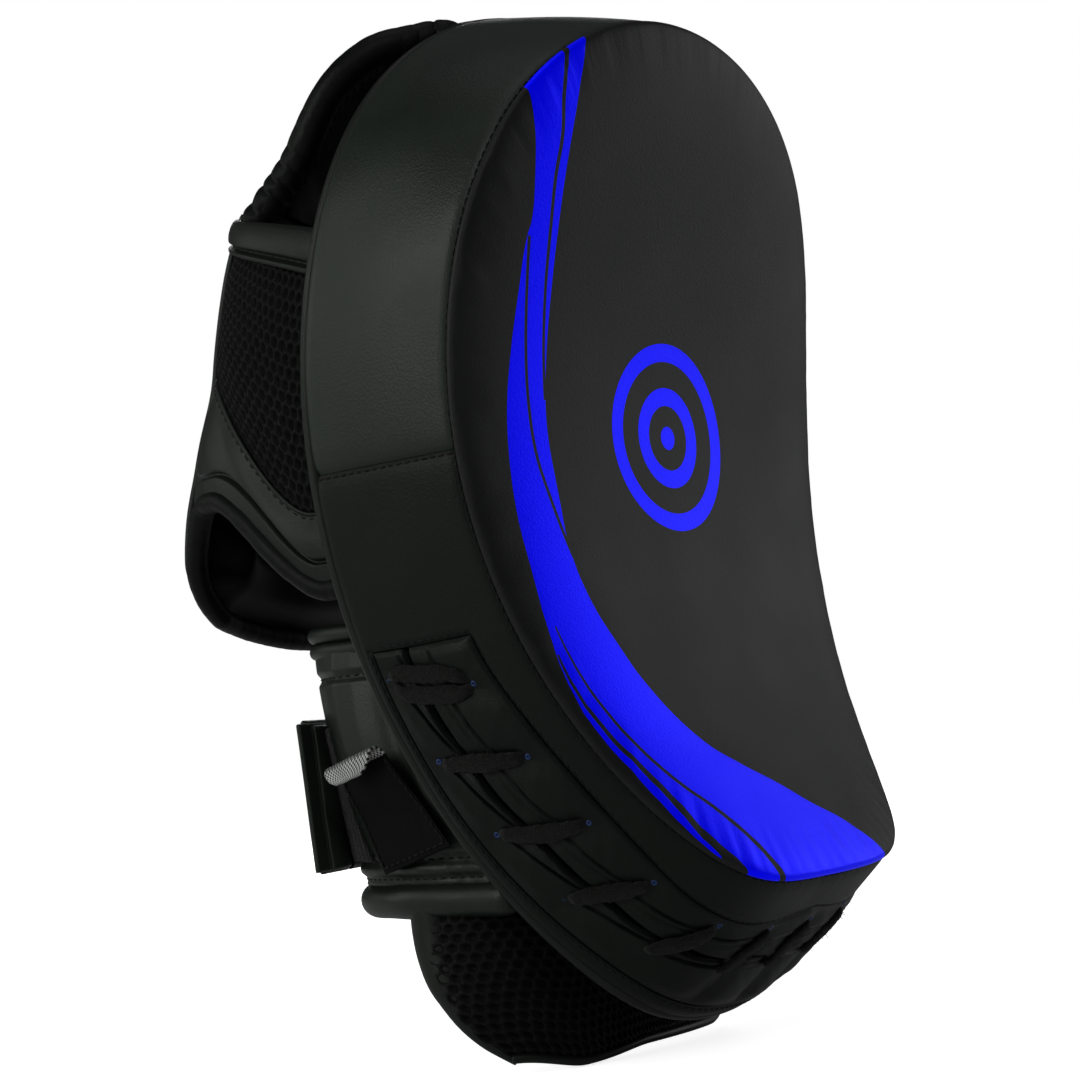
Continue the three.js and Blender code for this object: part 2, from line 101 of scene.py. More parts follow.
def bump(middle, half_width, value):
    """1 at middle, falling smoothly to 0 at half_width from it."""
    share = np.clip(np.abs(np.asarray(value, float) - middle) / half_width, 0, 1)
    return (1 - share * share) ** 2


def hump(share, power=1.0):
    """A half wave: 0 at shares 0 and 1, and 1 half way."""
    return np.sin(math.pi * np.clip(share, 0, 1)) ** power


def ripple(phase, seed=0.0):
    """A wandering wave, about -1 to 1, that repeats nowhere soon."""
    waves = np.sin(phase + seed) + 0.6 * np.sin(2.17 * phase + 1.7 * seed)
    return (waves + 0.45 * np.sin(3.61 * phase + 2.9 * seed)) / 2.05


def stack(x, y, z):
    return np.stack(np.broadcast_arrays(x, y, z), -1).astype(float)


def unit(vectors):
    size = np.linalg.norm(vectors, axis=-1, keepdims=True)
    return vectors / np.maximum(size, 1e-9)


def catmull_rom(points, count=400):
    """A smooth curve through the points, which starts at the first and ends at the last."""
    p = np.asarray(points, float)
    p = np.vstack([2 * p[0] - p[1], p, 2 * p[-1] - p[-2]])
    t = np.linspace(0, len(points) - 1, count)
    i = np.minimum(t.astype(int), len(points) - 2)
    f = (t - i)[:, None]
    a, b, c, d = p[i], p[i + 1], p[i + 2], p[i + 3]
    return 0.5 * (
        2 * b + (c - a) * f + (2 * a - 5 * b + 4 * c - d) * f**2 + (3 * b - a - 3 * c + d) * f**3
    )


def along(curve, share):
    """Points at shares 0 to 1 of a curve's points."""
    at = np.asarray(share, float) * (len(curve) - 1)
    return np.stack([np.interp(at, np.arange(len(curve)), curve[:, k]) for k in range(curve.shape[1])], -1)


def arc_length(points):
    return np.concatenate([[0], np.cumsum(np.linalg.norm(np.diff(points, axis=0), axis=1))])


def at_lengths(at, lengths, values):
    """Three-part values, known at some lengths along a path, read off at others."""
    return np.stack([np.interp(at, lengths, values[:, k]) for k in range(3)], -1)


# ---- Meshes -------------------------------------------------------------------------------------


def make_object(name, verts, faces, material, uv=None):
    """A smooth-shaded mesh object from millimetre points. uv is one pair for each point."""
    mesh = bpy.data.meshes.new(name)
    mesh.from_pydata((np.asarray(verts) * MM).tolist(), [], [list(face) for face in faces])
    mesh.polygons.foreach_set("use_smooth", [True] * len(mesh.polygons))
    if uv is not None:
        layer = mesh.uv_layers.new(name="cloth")
        corners = np.empty(len(mesh.loops), int)
        mesh.loops.foreach_get("vertex_index", corners)
        layer.data.foreach_set("uv", np.asarray(uv, float)[corners].ravel())
    mesh.materials.append(material)
    mesh.update()
    made = bpy.data.objects.new(name, mesh)
    bpy.context.scene.collection.objects.link(made)
    return made


def grid_faces(rows, columns, wrap=False):
    """Quads of a grid of rows by columns points. wrap joins the last row to the first."""
    last = rows if wrap else rows - 1
    i, j = np.meshgrid(np.arange(last), np.arange(columns - 1), indexing="ij")
    after = (i + 1) % rows
    here, beyond = i * columns + j, after * columns + j
    return np.stack([here, beyond, beyond + 1, here + 1], -1).reshape(-1, 4)


def normals_of(points, wrap=False):
    """Unit normals of a grid of points: along the rows crossed with along the columns."""
    if wrap:
        across = np.roll(points, -1, 0) - np.roll(points, 1, 0)
    else:
        across = np.gradient(points, axis=0)
    return unit(np.cross(across, np.gradient(points, axis=1)))


def rounded(distance, edge):
    """How much of its thickness a sheet with rounded edges has at a distance from its edge."""
    inward = np.clip(distance / edge, 0, 1)
    return np.sqrt(1 - (1 - inward) ** 2)


def edge_steps(count, edge_share):
    near = np.array([0, 0.06, 0.25, 0.6]) * edge_share
    return np.concatenate([near, np.linspace(edge_share, 1 - edge_share, count), 1 - near[::-1]])


def shell(name, place, steps, thickness, edge, material, flip=False, wrap=False):
    """A closed sheet with rounded edges. place(u, v) is its outer surface; wrap closes it along u."""
    middle = np.linspace(0, 1, 60)
    length_u = arc_length(place(middle, np.full(60, 0.5)))[-1]
    length_v = arc_length(place(np.full(60, 0.5), middle))[-1]
    us = np.arange(steps[0]) / steps[0] if wrap else edge_steps(steps[0], min(0.45, edge / length_u))
    vs = edge_steps(steps[1], min(0.45, edge / length_v))
    u, v = np.meshgrid(us, vs, indexing="ij")
    outer = place(u, v)
    out = normals_of(outer, wrap) * (-1 if flip else 1)
    rim = rounded(np.minimum(v, 1 - v) * length_v, edge)
    if not wrap:
        rim = rim * rounded(np.minimum(u, 1 - u) * length_u, edge)
    core = outer - out * thickness / 2
    front = core + out * (thickness / 2 * rim)[..., None]
    back = core - out * (thickness / 2 * rim)[..., None]
    rows, columns = u.shape
    count = rows * columns
    on_edge = np.zeros((rows, columns), bool)
    on_edge[:, [0, -1]] = True
    if not wrap:
        on_edge[[0, -1], :] = True
    number = np.arange(count).reshape(rows, columns)
    behind = np.where(on_edge, number, number + count)
    quads = grid_faces(rows, columns, wrap)
    if flip:
        quads = quads[:, ::-1]
    faces = np.vstack([quads, behind.ravel()[quads][:, ::-1]])
    verts = np.vstack([front.reshape(-1, 3), back.reshape(-1, 3)])
    used, compact = np.unique(faces, return_inverse=True)
    flat = np.stack([u * length_u, v * length_v], -1).reshape(-1, 2) * MM
    uv = np.vstack([flat, flat])[used]
    return make_object(name, verts[used], compact.reshape(-1, 4), material, uv)


def frames_along(points, ups=None):
    """Side and up directions at each point of a path."""
    ahead = unit(np.gradient(points, axis=0))
    if ups is None:
        up = np.array([0.0, 0.0, 1.0]) if abs(ahead[0][2]) < 0.8 else np.array([1.0, 0.0, 0.0])
        ups = []
        for direction in ahead:
            up = up - direction * np.dot(up, direction)
            up = up / np.linalg.norm(up)
            ups.append(up)
    ups = np.asarray(ups, float)
    ups = unit(ups - ahead * np.sum(ups * ahead, -1, keepdims=True))
    return np.cross(ahead, ups), ups


def round_turns(sides):
    return np.arange(sides) * 2 * math.pi / sides


def tube_points(points, radius, sides, flat=1.0, ups=None):
    """Rings of points round a path: flat widens them sideways."""
    side, up = frames_along(points, ups)
    turn = round_turns(sides)
    reach = np.asarray(radius, float)
    if reach.ndim < 2:
        reach = np.broadcast_to(reach, (len(points),))[:, None]
    flat = np.broadcast_to(np.asarray(flat, float), (len(points),))
    rings = points[:, None] + side[:, None] * (reach * np.cos(turn) * flat[:, None])[..., None]
    return rings + up[:, None] * (reach * np.sin(turn))[..., None]


def tube_faces(count, sides):
    i, j = np.meshgrid(np.arange(count - 1), np.arange(sides), indexing="ij")
    after = (j + 1) % sides
    quads = np.stack([i * sides + j, i * sides + after, (i + 1) * sides + after, (i + 1) * sides + j], -1)
    faces = quads.reshape(-1, 4).tolist()
    faces.append(list(range(sides))[::-1])
    faces.append(list(range((count - 1) * sides, count * sides)))
    return faces


def pipe(points, radius, sides, flat=1.0, ups=None):
    """A tube's points and faces, for joined()."""
    return tube_points(points, radius, sides, flat, ups), tube_faces(len(points), sides)


def tube(name, points, radius, material, sides=16, flat=1.0, ups=None):
    """A closed tube along a path, its ends rounded off by the radius given there."""
    rings = tube_points(points, radius, sides, flat, ups)
    lengths = arc_length(points)
    round_the = np.tile(np.linspace(0, 1, sides, endpoint=False), len(points))
    uv = np.stack([np.repeat(lengths, sides), round_the * 2 * math.pi * float(np.mean(radius))], -1) * MM
    return make_object(name, rings.reshape(-1, 3), tube_faces(len(points), sides), material, uv)


def joined(name, parts, material):
    """One object from several (points, faces) pairs."""
    verts, faces, start = [], [], 0
    for points, quads in parts:
        points = np.asarray(points).reshape(-1, 3)
        verts.append(points)
        faces.extend([[start + k for k in face] for face in quads])
        start += len(points)
    return make_object(name, np.vstack(verts), faces, material)


STITCH = {"pitch": 3.3, "length": 2.5, "radius": 0.26, "proud": 0.22, "sunk": 0.12, "first": 0.4}


def sew(name, seams, pitch=STITCH["pitch"], body=BODY):
    """Short thread stitches along each seam, a pair of arrays: points and outward normals."""
    shape = np.linspace(0, 1, 5)
    thread = STITCH["radius"] * np.array([0.55, 1, 1.1, 1, 0.55])
    lift = STITCH["proud"] * np.sin(shape * math.pi) - STITCH["sunk"]
    parts = []
    for points, outs in seams:
        lengths = arc_length(points)
        for start in np.arange(STITCH["first"], lengths[-1] - pitch, pitch):
            at = start + shape * STITCH["length"] * pitch / STITCH["pitch"]
            up = unit(at_lengths(at, lengths, outs))
            path = at_lengths(at, lengths, points) + up * lift[:, None]
            parts.append(pipe(path, thread, 6, 1.1, up))
    finished(joined(name, parts, LOOK["thread"]), "lace_cord", body=body)


def seam_on(place, u, v, lift=0.0, flip=False):
    """Points and outward normals along a line u, v of a surface."""
    u, v = np.broadcast_arrays(np.asarray(u, float), np.asarray(v, float))
    e = 1e-3
    across = place(u + e, v) - place(u - e, v)
    up = place(u, v + e) - place(u, v - e)
    out = unit(np.cross(across, up)) * (-1 if flip else 1)
    return place(u, v) + out * lift, out


def finished(piece, slot, *nodes, body=BODY):
    """The piece rides on its body and stands for its CAD nodes, which it hides. slot is not used."""
    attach(piece, body)
    if nodes:
        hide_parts(*nodes)
    return piece


# ---- Materials ----------------------------------------------------------------------------------


class Nodes:
    """Short calls for building one material's node tree."""

    def __init__(self, name, color, roughness, metallic=0.0):
        self.material = bpy.data.materials.new(name)
        self.material.use_nodes = True
        self.tree = self.material.node_tree
        self.shader = self.tree.nodes["Principled BSDF"]
        self.shader.inputs["Base Color"].default_value = (*color, 1)
        self.shader.inputs["Roughness"].default_value = roughness
        self.shader.inputs["Metallic"].default_value = metallic
        self.material.diffuse_color = (*color, 1)

    def add(self, kind, **values):
        node = self.tree.nodes.new(kind)
        for key, value in values.items():
            if key in node.inputs:
                node.inputs[key].default_value = value
            else:
                setattr(node, key, value)
        return node

    def link(self, source, target):
        self.tree.links.new(source, target)

    def give(self, socket, source):
        self.link(source, self.shader.inputs[socket])

    def set(self, **values):
        for key, value in values.items():
            self.shader.inputs[key.replace("_", " ")].default_value = value

    def place(self):
        return self.add("ShaderNodeTexCoord").outputs["Object"]

    def noise(self, scale, detail=4.0, roughness=0.55):
        node = self.add("ShaderNodeTexNoise", Scale=scale, Detail=detail, Roughness=roughness)
        self.link(self.place(), node.inputs["Vector"])
        return node.outputs["Fac"]

    def cells(self, scale, feature="F1"):
        node = self.add("ShaderNodeTexVoronoi", feature=feature, Scale=scale)
        self.link(self.place(), node.inputs["Vector"])
        return node.outputs["Distance"]

    def math(self, operation, first, second=None, clamp=False):
        node = self.add("ShaderNodeMath", operation=operation, use_clamp=clamp)
        for socket, value in zip(node.inputs, (first, second)):
            if value is None:
                continue
            if isinstance(value, (int, float)):
                socket.default_value = value
            else:
                self.link(value, socket)
        return node.outputs[0]

    def remap(self, value, low, high, to_low=0.0, to_high=1.0):
        node = self.add("ShaderNodeMapRange")
        node.inputs["From Min"].default_value = low
        node.inputs["From Max"].default_value = high
        node.inputs["To Min"].default_value = to_low
        node.inputs["To Max"].default_value = to_high
        self.link(value, node.inputs["Value"])
        return node.outputs["Result"]

    def blend(self, share, first, second):
        node = self.add("ShaderNodeMix", data_type="RGBA")
        self.link(share, node.inputs["Factor"])
        sockets = [s for s in node.inputs if s.type == "RGBA"]
        for socket, value in zip(sockets, (first, second)):
            if isinstance(value, tuple):
                socket.default_value = (*value, 1)
            else:
                self.link(value, socket)
        return [s for s in node.outputs if s.type == "RGBA"][0]

    def relief(self, height, strength, distance):
        node = self.add("ShaderNodeBump", Strength=strength, Distance=distance)
        self.link(height, node.inputs["Height"])
        previous = self.shader.inputs["Normal"]
        if previous.is_linked:
            self.link(previous.links[0].from_socket, node.inputs["Normal"])
        self.link(node.outputs["Normal"], previous)


def leather(name, color, roughness, grain=0.35, specular=0.35, patchy=0.07):
    """Pebble-grained leatherette: fine cells, soft creases, patchy gloss and a faint tint."""
    made = Nodes(name, color, roughness)
    made.set(Specular_IOR_Level=specular)
    pebbles = made.cells(1500.0)
    fine = made.noise(2600.0, 3.0)
    creases = made.cells(260.0, "DISTANCE_TO_EDGE")
    made.relief(made.remap(creases, 0.0, 0.12), grain * 0.15, 0.00010)
    made.relief(made.math("ADD", pebbles, made.math("MULTIPLY", fine, 0.5)), grain, 0.00022)
    patches = made.noise(28.0, 3.0)
    made.give("Roughness", made.remap(patches, 0.3, 0.7, roughness - patchy, roughness + patchy))
    light = tuple(min(1.0, c * 1.45 + 0.001) for c in color)
    dark = tuple(c * 0.7 for c in color)
    tone = made.math("MULTIPLY", made.math("ADD", patches, fine), 0.5)
    made.give("Base Color", made.blend(made.remap(tone, 0.35, 0.65), dark, light))
    return made


def cloth(name, color, threads, sheen, roughness=0.85, strength=0.5):
    """Plain woven cloth: crossed sets of threads with a little fuzz."""
    made = Nodes(name, color, roughness)
    made.set(Specular_IOR_Level=0.2, Sheen_Weight=sheen, Sheen_Roughness=0.4)
    height = 1.0
    for direction in ("X", "Y", "Z"):
        wave = made.add("ShaderNodeTexWave", bands_direction=direction, Scale=threads, Distortion=0.4)
        made.link(made.place(), wave.inputs["Vector"])
        height = made.math("MULTIPLY", height, wave.outputs["Fac"])
    fuzz = made.noise(3000.0, 4.0)
    made.relief(made.math("ADD", height, fuzz), strength, 0.00025)
    patches = made.noise(60.0, 4.0)
    light = tuple(min(1.0, c * 1.6 + 0.002) for c in color)
    dark = tuple(c * 0.55 for c in color)
    tone = made.math("MULTIPLY", made.math("ADD", patches, fuzz), 0.5)
    made.give("Base Color", made.blend(made.remap(tone, 0.3, 0.7), dark, light))
    return made


FACE_BLACK = (0.0078, 0.0082, 0.0082)

# The edges of the print on the face, as (height up the face, distance across), top to bottom.
PRINT_LEFT = [
    (100, -72), (90, -69), (73, -67.1), (60, -67.2), (56, -68.6), (39, -71.2), (24, -73.7), (7, -76.1),
    (-8, -76.8), (-24, -76.6), (-40, -75.4), (-64, -75.2), (-76, -74.2), (-86, -71.6), (-96, -67.6),
    (-107, -63.4), (-117, -59.4), (-125, -55.2), (-132, -49.5), (-145, -30),
]
PRINT_RIGHT = [
    (116, -45), (112, -47.6), (104, -49.6), (92, -51.8), (76, -54), (60, -55.4), (42, -56.8), (20, -58.7),
    (4, -59.5), (-18, -57.7), (-34, -57.2), (-49, -54), (-64, -48), (-74, -43.9), (-95, -30.4),
    (-104, -18.5), (-112, -5.5), (-120, 5.2), (-127, 16.2), (-137, 26.8), (-145, 34),
]
# The thin black lines that part the swooshes: middle line, half width at its top and at its foot.
PRINT_GAPS = {
    "upper": (
        [(112, -54), (98, -57), (85, -56.8), (74, -58.3), (59, -58.8), (41, -59.5), (10, -59.6)],
        0.85, 0.6,
    ),
    "middle": (
        [(56, -67.8), (39, -67.6), (23, -67.5), (8, -66.9), (-6, -65.2), (-18, -61.7), (-36, -56.4)],
        0.65, 0.7,
    ),
    "lower": (
        [(-56, -72.3), (-61, -71.4), (-73, -68.6), (-84, -64.4), (-95, -59.1), (-108, -50.6), (-116, -43.6),
         (-126, -37), (-133, -33.6), (-144, -30)],
        0.35, 1.3,
    ),
    "outer": (
        [(-64, -74.6), (-74, -73.2), (-82, -70.6), (-91, -66.8), (-101, -61.9), (-112, -57.2), (-122, -53.6),
         (-134, -47), (-144, -40)],
        0.4, 1.9,
    ),
}
PRINT_SPAN = 150.0  # the curves run from this far above the origin to this far below
PRINT_REACH = 90.0
TARGET = {"centre": (1.0, 1.5), "rings": ((23.5, 29.0), (10.0, 15.5), (-1.0, 3.6))}


def print_height(s):
    """The print's share of the way up for millimetres up the face."""
    return (s + PRINT_SPAN) / (2 * PRINT_SPAN)


def print_across(x):
    return (x + PRINT_REACH) / (2 * PRINT_REACH)


def print_edge(made, height, points):
    """How far across a printed edge is, at each height."""
    node = made.add("ShaderNodeFloatCurve")
    curve = node.mapping.curves[0]
    ordered = sorted((print_height(s), print_across(x)) for s, x in points)
    curve.points[0].location = ordered[0]
    curve.points[1].location = ordered[-1]
    for point in ordered[1:-1]:
        curve.points.new(*point)
    node.mapping.update()
    made.link(height, node.inputs["Value"])
    return node.outputs["Value"]


def print_swooshes(made, across, height):
    """1 between the swooshes' two edges, and 0 outside them and in the gaps that part them."""
    after_left = made.math("LESS_THAN", print_edge(made, height, PRINT_LEFT), across)
    before_right = made.math("LESS_THAN", across, print_edge(made, height, PRINT_RIGHT))
    blue = made.math("MULTIPLY", after_left, before_right)
    scale = 1 / (2 * PRINT_REACH)
    for points, thin, thick in PRINT_GAPS.values():
        top, foot = print_height(points[0][0]), print_height(points[-1][0])
        off = made.math("ABSOLUTE", made.math("SUBTRACT", across, print_edge(made, height, points)))
        width = made.remap(height, top, foot, thin * scale, thick * scale)
        near = made.math("LESS_THAN", off, width)
        below_top = made.math("LESS_THAN", height, top)
        above_foot = made.math("GREATER_THAN", height, foot)
        line = made.math("MULTIPLY", made.math("MULTIPLY", near, below_top), above_foot)
        blue = made.math("SUBTRACT", blue, line, clamp=True)
    return blue


def print_target(made, across, height, blue):
    """Adds the plain rings to the blue."""
    centre_x, centre_s = TARGET["centre"]
    offset = made.math("MULTIPLY", made.math("SUBTRACT", across, print_across(centre_x)), 2 * PRINT_REACH)
    rise = made.math("MULTIPLY", made.math("SUBTRACT", height, print_height(centre_s)), 2 * PRINT_SPAN)
    squares = made.math("ADD", made.math("POWER", offset, 2.0), made.math("POWER", rise, 2.0))
    distance = made.math("SQRT", squares)
    for inner, outer in TARGET["rings"]:
        outside = made.math("GREATER_THAN", distance, inner)
        ring = made.math("MULTIPLY", outside, made.math("LESS_THAN", distance, outer))
        blue = made.math("MAXIMUM", blue, ring)
    return blue


def printed_face():
    """Satin face leatherette with the blue foil print: swooshes at the left and a plain target. The blue
    also glows faintly, a painted light.
    """
    made = leather("face_leatherette", FACE_BLACK, 0.5, 0.16, 0.26, 0.03)
    base = made.shader.inputs["Base Color"].links[0].from_socket
    rough = made.shader.inputs["Roughness"].links[0].from_socket
    where = made.add("ShaderNodeUVMap", uv_map="cloth").outputs["UV"]
    split = made.add("ShaderNodeSeparateXYZ")
    made.link(where, split.inputs["Vector"])
    across, height = split.outputs["X"], split.outputs["Y"]
    blue = print_target(made, across, height, print_swooshes(made, across, height))
    weave = made.noise(900.0, 2.0)
    foil = made.blend(weave, (0.0, 0.0, 0.8), (0.005, 0.008, 1.0))
    made.give("Base Color", made.blend(blue, base, foil))
    glossy = made.math("MULTIPLY", blue, -0.17)
    made.give("Roughness", made.math("ADD", rough, glossy))
    made.give("Metallic", made.math("MULTIPLY", blue, 0.55))
    # The blue print also emits a faint blue glow: painted light that brightens the foil beyond what the
    # lamps give it.
    made.set(Emission_Color=(0.0, 0.0, 1.0, 1))
    made.give("Emission Strength", made.math("MULTIPLY", blue, 0.40))
    made.give("Specular IOR Level", made.remap(blue, 0.0, 1.0, 0.22, 0.03))
    made.relief(blue, 0.25, 0.0001)
    return made.material


def air_mesh_cloth():
    """Spacer mesh: knitted ribs round deep holes; the holes themselves are in the mesh piece."""
    made = cloth("air_mesh_knit", (0.0008, 0.0009, 0.0009), 1400.0, 0.02, 0.6, 0.7)
    knots = made.cells(1500.0)
    made.relief(knots, 0.6, 0.0003)
    made.set(Specular_IOR_Level=0.15)
    return made.material


def silver_weave():
    """The bright woven end of the label: small silver checks."""
    made = Nodes("label_silver", (0.55, 0.56, 0.58), 0.35, 0.3)
    checks = made.add("ShaderNodeTexChecker", Scale=1400.0)
    made.link(made.add("ShaderNodeUVMap", uv_map="cloth").outputs["UV"], checks.inputs["Vector"])
    made.give("Base Color", made.blend(checks.outputs["Fac"], (0.008, 0.008, 0.008), (0.5, 0.5, 0.5)))
    made.relief(checks.outputs["Fac"], 0.6, 0.0002)
    return made.material


def foam_sponge(name, color):
    made = Nodes(name, color, 0.9)
    bubbles = made.cells(700.0)
    made.relief(bubbles, 0.5, 0.0004)
    made.give("Base Color", made.blend(made.remap(bubbles, 0.0, 0.6), tuple(c * 0.6 for c in color), color))
    return made.material


def label_cloth():
    made = cloth("label_weave", (0.0002, 0.0003, 0.0003), 2200.0, 0.0, 0.5, 0.25)
    made.set(Specular_IOR_Level=0.07)
    return made.material


def fuzzy_lace():
    made = cloth("lace_weave", (0.0034, 0.0027, 0.0028), 1100.0, 0.12, 0.9, 1.0)
    made.relief(made.noise(1800.0, 6.0, 0.7), 0.8, 0.0006)
    return made.material


def enamel():
    made = Nodes("eyelet_enamel", (0.010, 0.03, 0.12), 0.25, 0.4)
    made.give("Roughness", made.remap(made.noise(900.0), 0.3, 0.7, 0.15, 0.35))
    return made.material


def board_fibre():
    made = Nodes("stiff_board_fibre", (0.12, 0.10, 0.075), 0.8)
    fibres = made.noise(500.0, 5.0)
    made.relief(fibres, 0.4, 0.0003)
    made.give("Base Color", made.blend(fibres, (0.09, 0.075, 0.055), (0.16, 0.13, 0.10)))
    return made.material


def satin():
    made = cloth("lining_satin", (0.0010, 0.0013, 0.0012), 2600.0, 0.02, 0.45, 0.15)
    made.set(Specular_IOR_Level=0.16)
    return made.material


LOOK = {
    # The upper wall's copy of the wall leather is about twice as light and greener than the lower wall's:
    # painted light for the side light's sheen on that panel. The face welt and the hidden lacing tongue
    # share it.
    "wall": leather("wall_leatherette", (0.0030, 0.0075, 0.0042), 0.46, 0.24, 0.40).material,
    "wall_lower": leather("wall_leatherette_lower", (0.0016, 0.0030, 0.0020), 0.46, 0.26, 0.19).material,
    "cuff": leather("cuff_leatherette", (0.0034, 0.0062, 0.0040), 0.45, 0.20, 0.36).material,
    "edge": leather("edge_leatherette", (0.0010, 0.0016, 0.0012), 0.48, 0.20, 0.13).material,
    "glove": leather("glove_leatherette", (0.0020, 0.0034, 0.0023), 0.47, 0.20, 0.30).material,
    "face": printed_face(),
    "air_mesh": air_mesh_cloth(),
    "satin": satin(),
    "lace": fuzzy_lace(),
    "tape": cloth("woven_tape", (0.0040, 0.0040, 0.0042), 900.0, 0.06, 0.8, 0.9).material,
    "loops": cloth("loop_pile", (0.004, 0.004, 0.004), 700.0, 0.15, 0.95, 1.0).material,
    "thread": cloth("black_thread", (0.0015, 0.0015, 0.0015), 2500.0, 0.02, 0.5, 0.4).material,
    "label": label_cloth(),
    # The tab's webbing and inner leather have base colours several times lighter than the other black
    # leathers and cloth: painted light that lifts the shade the pad casts on the tab.
    "webbing": cloth("tab_webbing_painted_light", (0.021, 0.026, 0.022), 900.0, 0.0, 0.55, 0.6).material,
    "tab": leather("tab_leatherette_painted_light", (0.026, 0.033, 0.027), 0.45, 0.20, 0.4).material,
    "silver": silver_weave(),
    "foam": foam_sponge("foam_cells", (0.05, 0.05, 0.055)),
    "board": board_fibre(),
    "elastic": cloth("elastic_cover", (0.012, 0.012, 0.012), 1500.0, 0.3).material,
    "enamel": enamel(),
}

# ---- Pad ----------------------------------------------------------------------------------------


def outline(turn):
    """Across and up the dished face, by degrees of turn from the top."""
    t = np.radians(turn)
    x = 89.8 * np.sin(t) - 3 * np.sin(3 * t) + 2 * np.sin(5 * t)
    s = 146 * np.cos(t) - 14.8 * np.cos(2 * t) - 12.6 * np.cos(3 * t) + 6.4 * np.cos(4 * t)
    return x, s


def outline_at(turn, out):
    """The outline moved outwards by out."""
    x0, s0 = outline(turn - 0.5)
    x1, s1 = outline(turn + 0.5)
    size = np.hypot(x1 - x0, s1 - s0)
    x, s = outline(turn)
    return x - (s1 - s0) / size * out, s + (x1 - x0) / size * out


HEIGHTS = np.linspace(-178, 152, 1321)


def lean(s):
    h = np.asarray(s, float) / 100
    return 0.49 * h - 0.137 * h**2 - 0.079 * h**3


def dish():
    """The running depth and height of the dished face along its middle line."""
    turn = lean(HEIGHTS)
    step = HEIGHTS[1] - HEIGHTS[0]
    back = -np.concatenate([[0], np.cumsum((np.sin(turn[1:]) + np.sin(turn[:-1])) / 2)]) * step
    up = np.concatenate([[0], np.cumsum((np.cos(turn[1:]) + np.cos(turn[:-1])) / 2)]) * step
    return back - np.interp(0, HEIGHTS, back), up - np.interp(0, HEIGHTS, up)


DISH_Y, DISH_Z = dish()


def pad_point(x, s, depth):
    """x across, s up the dished face and depth behind the edge seam."""
    turn = lean(s)
    y = FACE_CROWN + np.interp(s, HEIGHTS, DISH_Y) + depth * np.cos(turn)
    return stack(x, y, np.interp(s, HEIGHTS, DISH_Z) + depth * np.sin(turn))


def pad_back(z):
    """How far behind the origin the pad's back is at a height z."""
    s = np.linspace(-160, 140, 601)
    points = pad_point(0.0, s, PAD_THICKNESS)
    return np.interp(z, points[:, 2], points[:, 1])


TURNS = np.linspace(0, 360, 1441)
PERIMETER = arc_length(np.stack(outline(TURNS), -1))


def turn_at(arc):
    """The turn at a distance round the outline from the bottom, positive towards the left."""
    bottom = np.interp(180, TURNS, PERIMETER)
    return np.interp(bottom + np.asarray(arc, float), PERIMETER, TURNS)


def arc_at(turn):
    return np.interp(turn, TURNS, PERIMETER) - np.interp(180, TURNS, PERIMETER)


def drawn_in(turn, depth):
    """The lower right corner is packed less full, and the foot bulges towards the back."""
    share = np.clip(depth / PAD_THICKNESS, 0, 1)
    corner = 2.6 * bump(142, 40, turn) + 2.5 * bump(148, 38, turn) * share
    return corner - 3.5 * bump(190, 36, turn) * ease(0.35, 0.95, share)


def edge_at(turn, depth, out=0.0):
    return outline_at(turn, out - drawn_in(turn, depth))


def face_place(u, v):
    """The crowned face: u round it and v from its middle to its edge."""
    x, s = edge_at(360 * u, 0.0)
    crown = FACE_CROWN * np.sqrt(np.clip(1 - v**4, 0, 1))
    arc = PERIMETER[-1] * u
    near_edge = ease(0.86, 0.97, v) * (1 - ease(0.985, 1.0, v))
    crinkle = 0.22 * near_edge * ripple(arc / 1.5, 1.3) + 0.35 * near_edge * ripple(arc / 5.5, 4.0)
    left = bump(0.75, 0.22, u)
    return pad_point(x * v, s * v, -crown - crinkle * (0.35 + 0.65 * left))


def make_face():
    """The printed front cover, tucked in behind its edge seam."""
    rounds = 420
    shares = np.concatenate([np.linspace(0.004, 0.84, 56), np.linspace(0.85, 1, 46)])
    u, v = np.meshgrid(np.arange(rounds) / rounds, shares, indexing="ij")
    top = face_place(u, v)
    tucked = []
    for out, depth in ((0.15, 0.6), (-0.5, 1.3), (-1.6, 2.0), (-3.5, 2.2)):
        x, s = edge_at(360 * u[:, 0], depth, out)
        tucked.append(pad_point(x, s, depth))
    points = np.concatenate([top, np.stack(tucked, 1)], 1)
    rows, columns = points.shape[:2]
    x, s = edge_at(360 * u, 0.0)
    flat_x = np.concatenate([x * v, np.repeat((x * v)[:, -1:], len(tucked), 1)], 1)
    flat_s = np.concatenate([s * v, np.repeat((s * v)[:, -1:], len(tucked), 1)], 1)
    uv = np.stack([flat_x / (2 * PRINT_REACH) + 0.5, flat_s / (2 * PRINT_SPAN) + 0.5], -1).reshape(-1, 2)
    faces = grid_faces(rows, columns, True)[:, ::-1].tolist()
    faces.append([row * columns for row in range(rows)])
    skin = make_object("face_skin", points.reshape(-1, 3), faces, LOOK["face"], uv)
    skin.data.flip_normals()
    thicken = skin.modifiers.new("skin", "SOLIDIFY")
    thicken.thickness = 1.2 * MM
    thicken.offset = -1
    finished(skin, "face_leather", "face_cover")


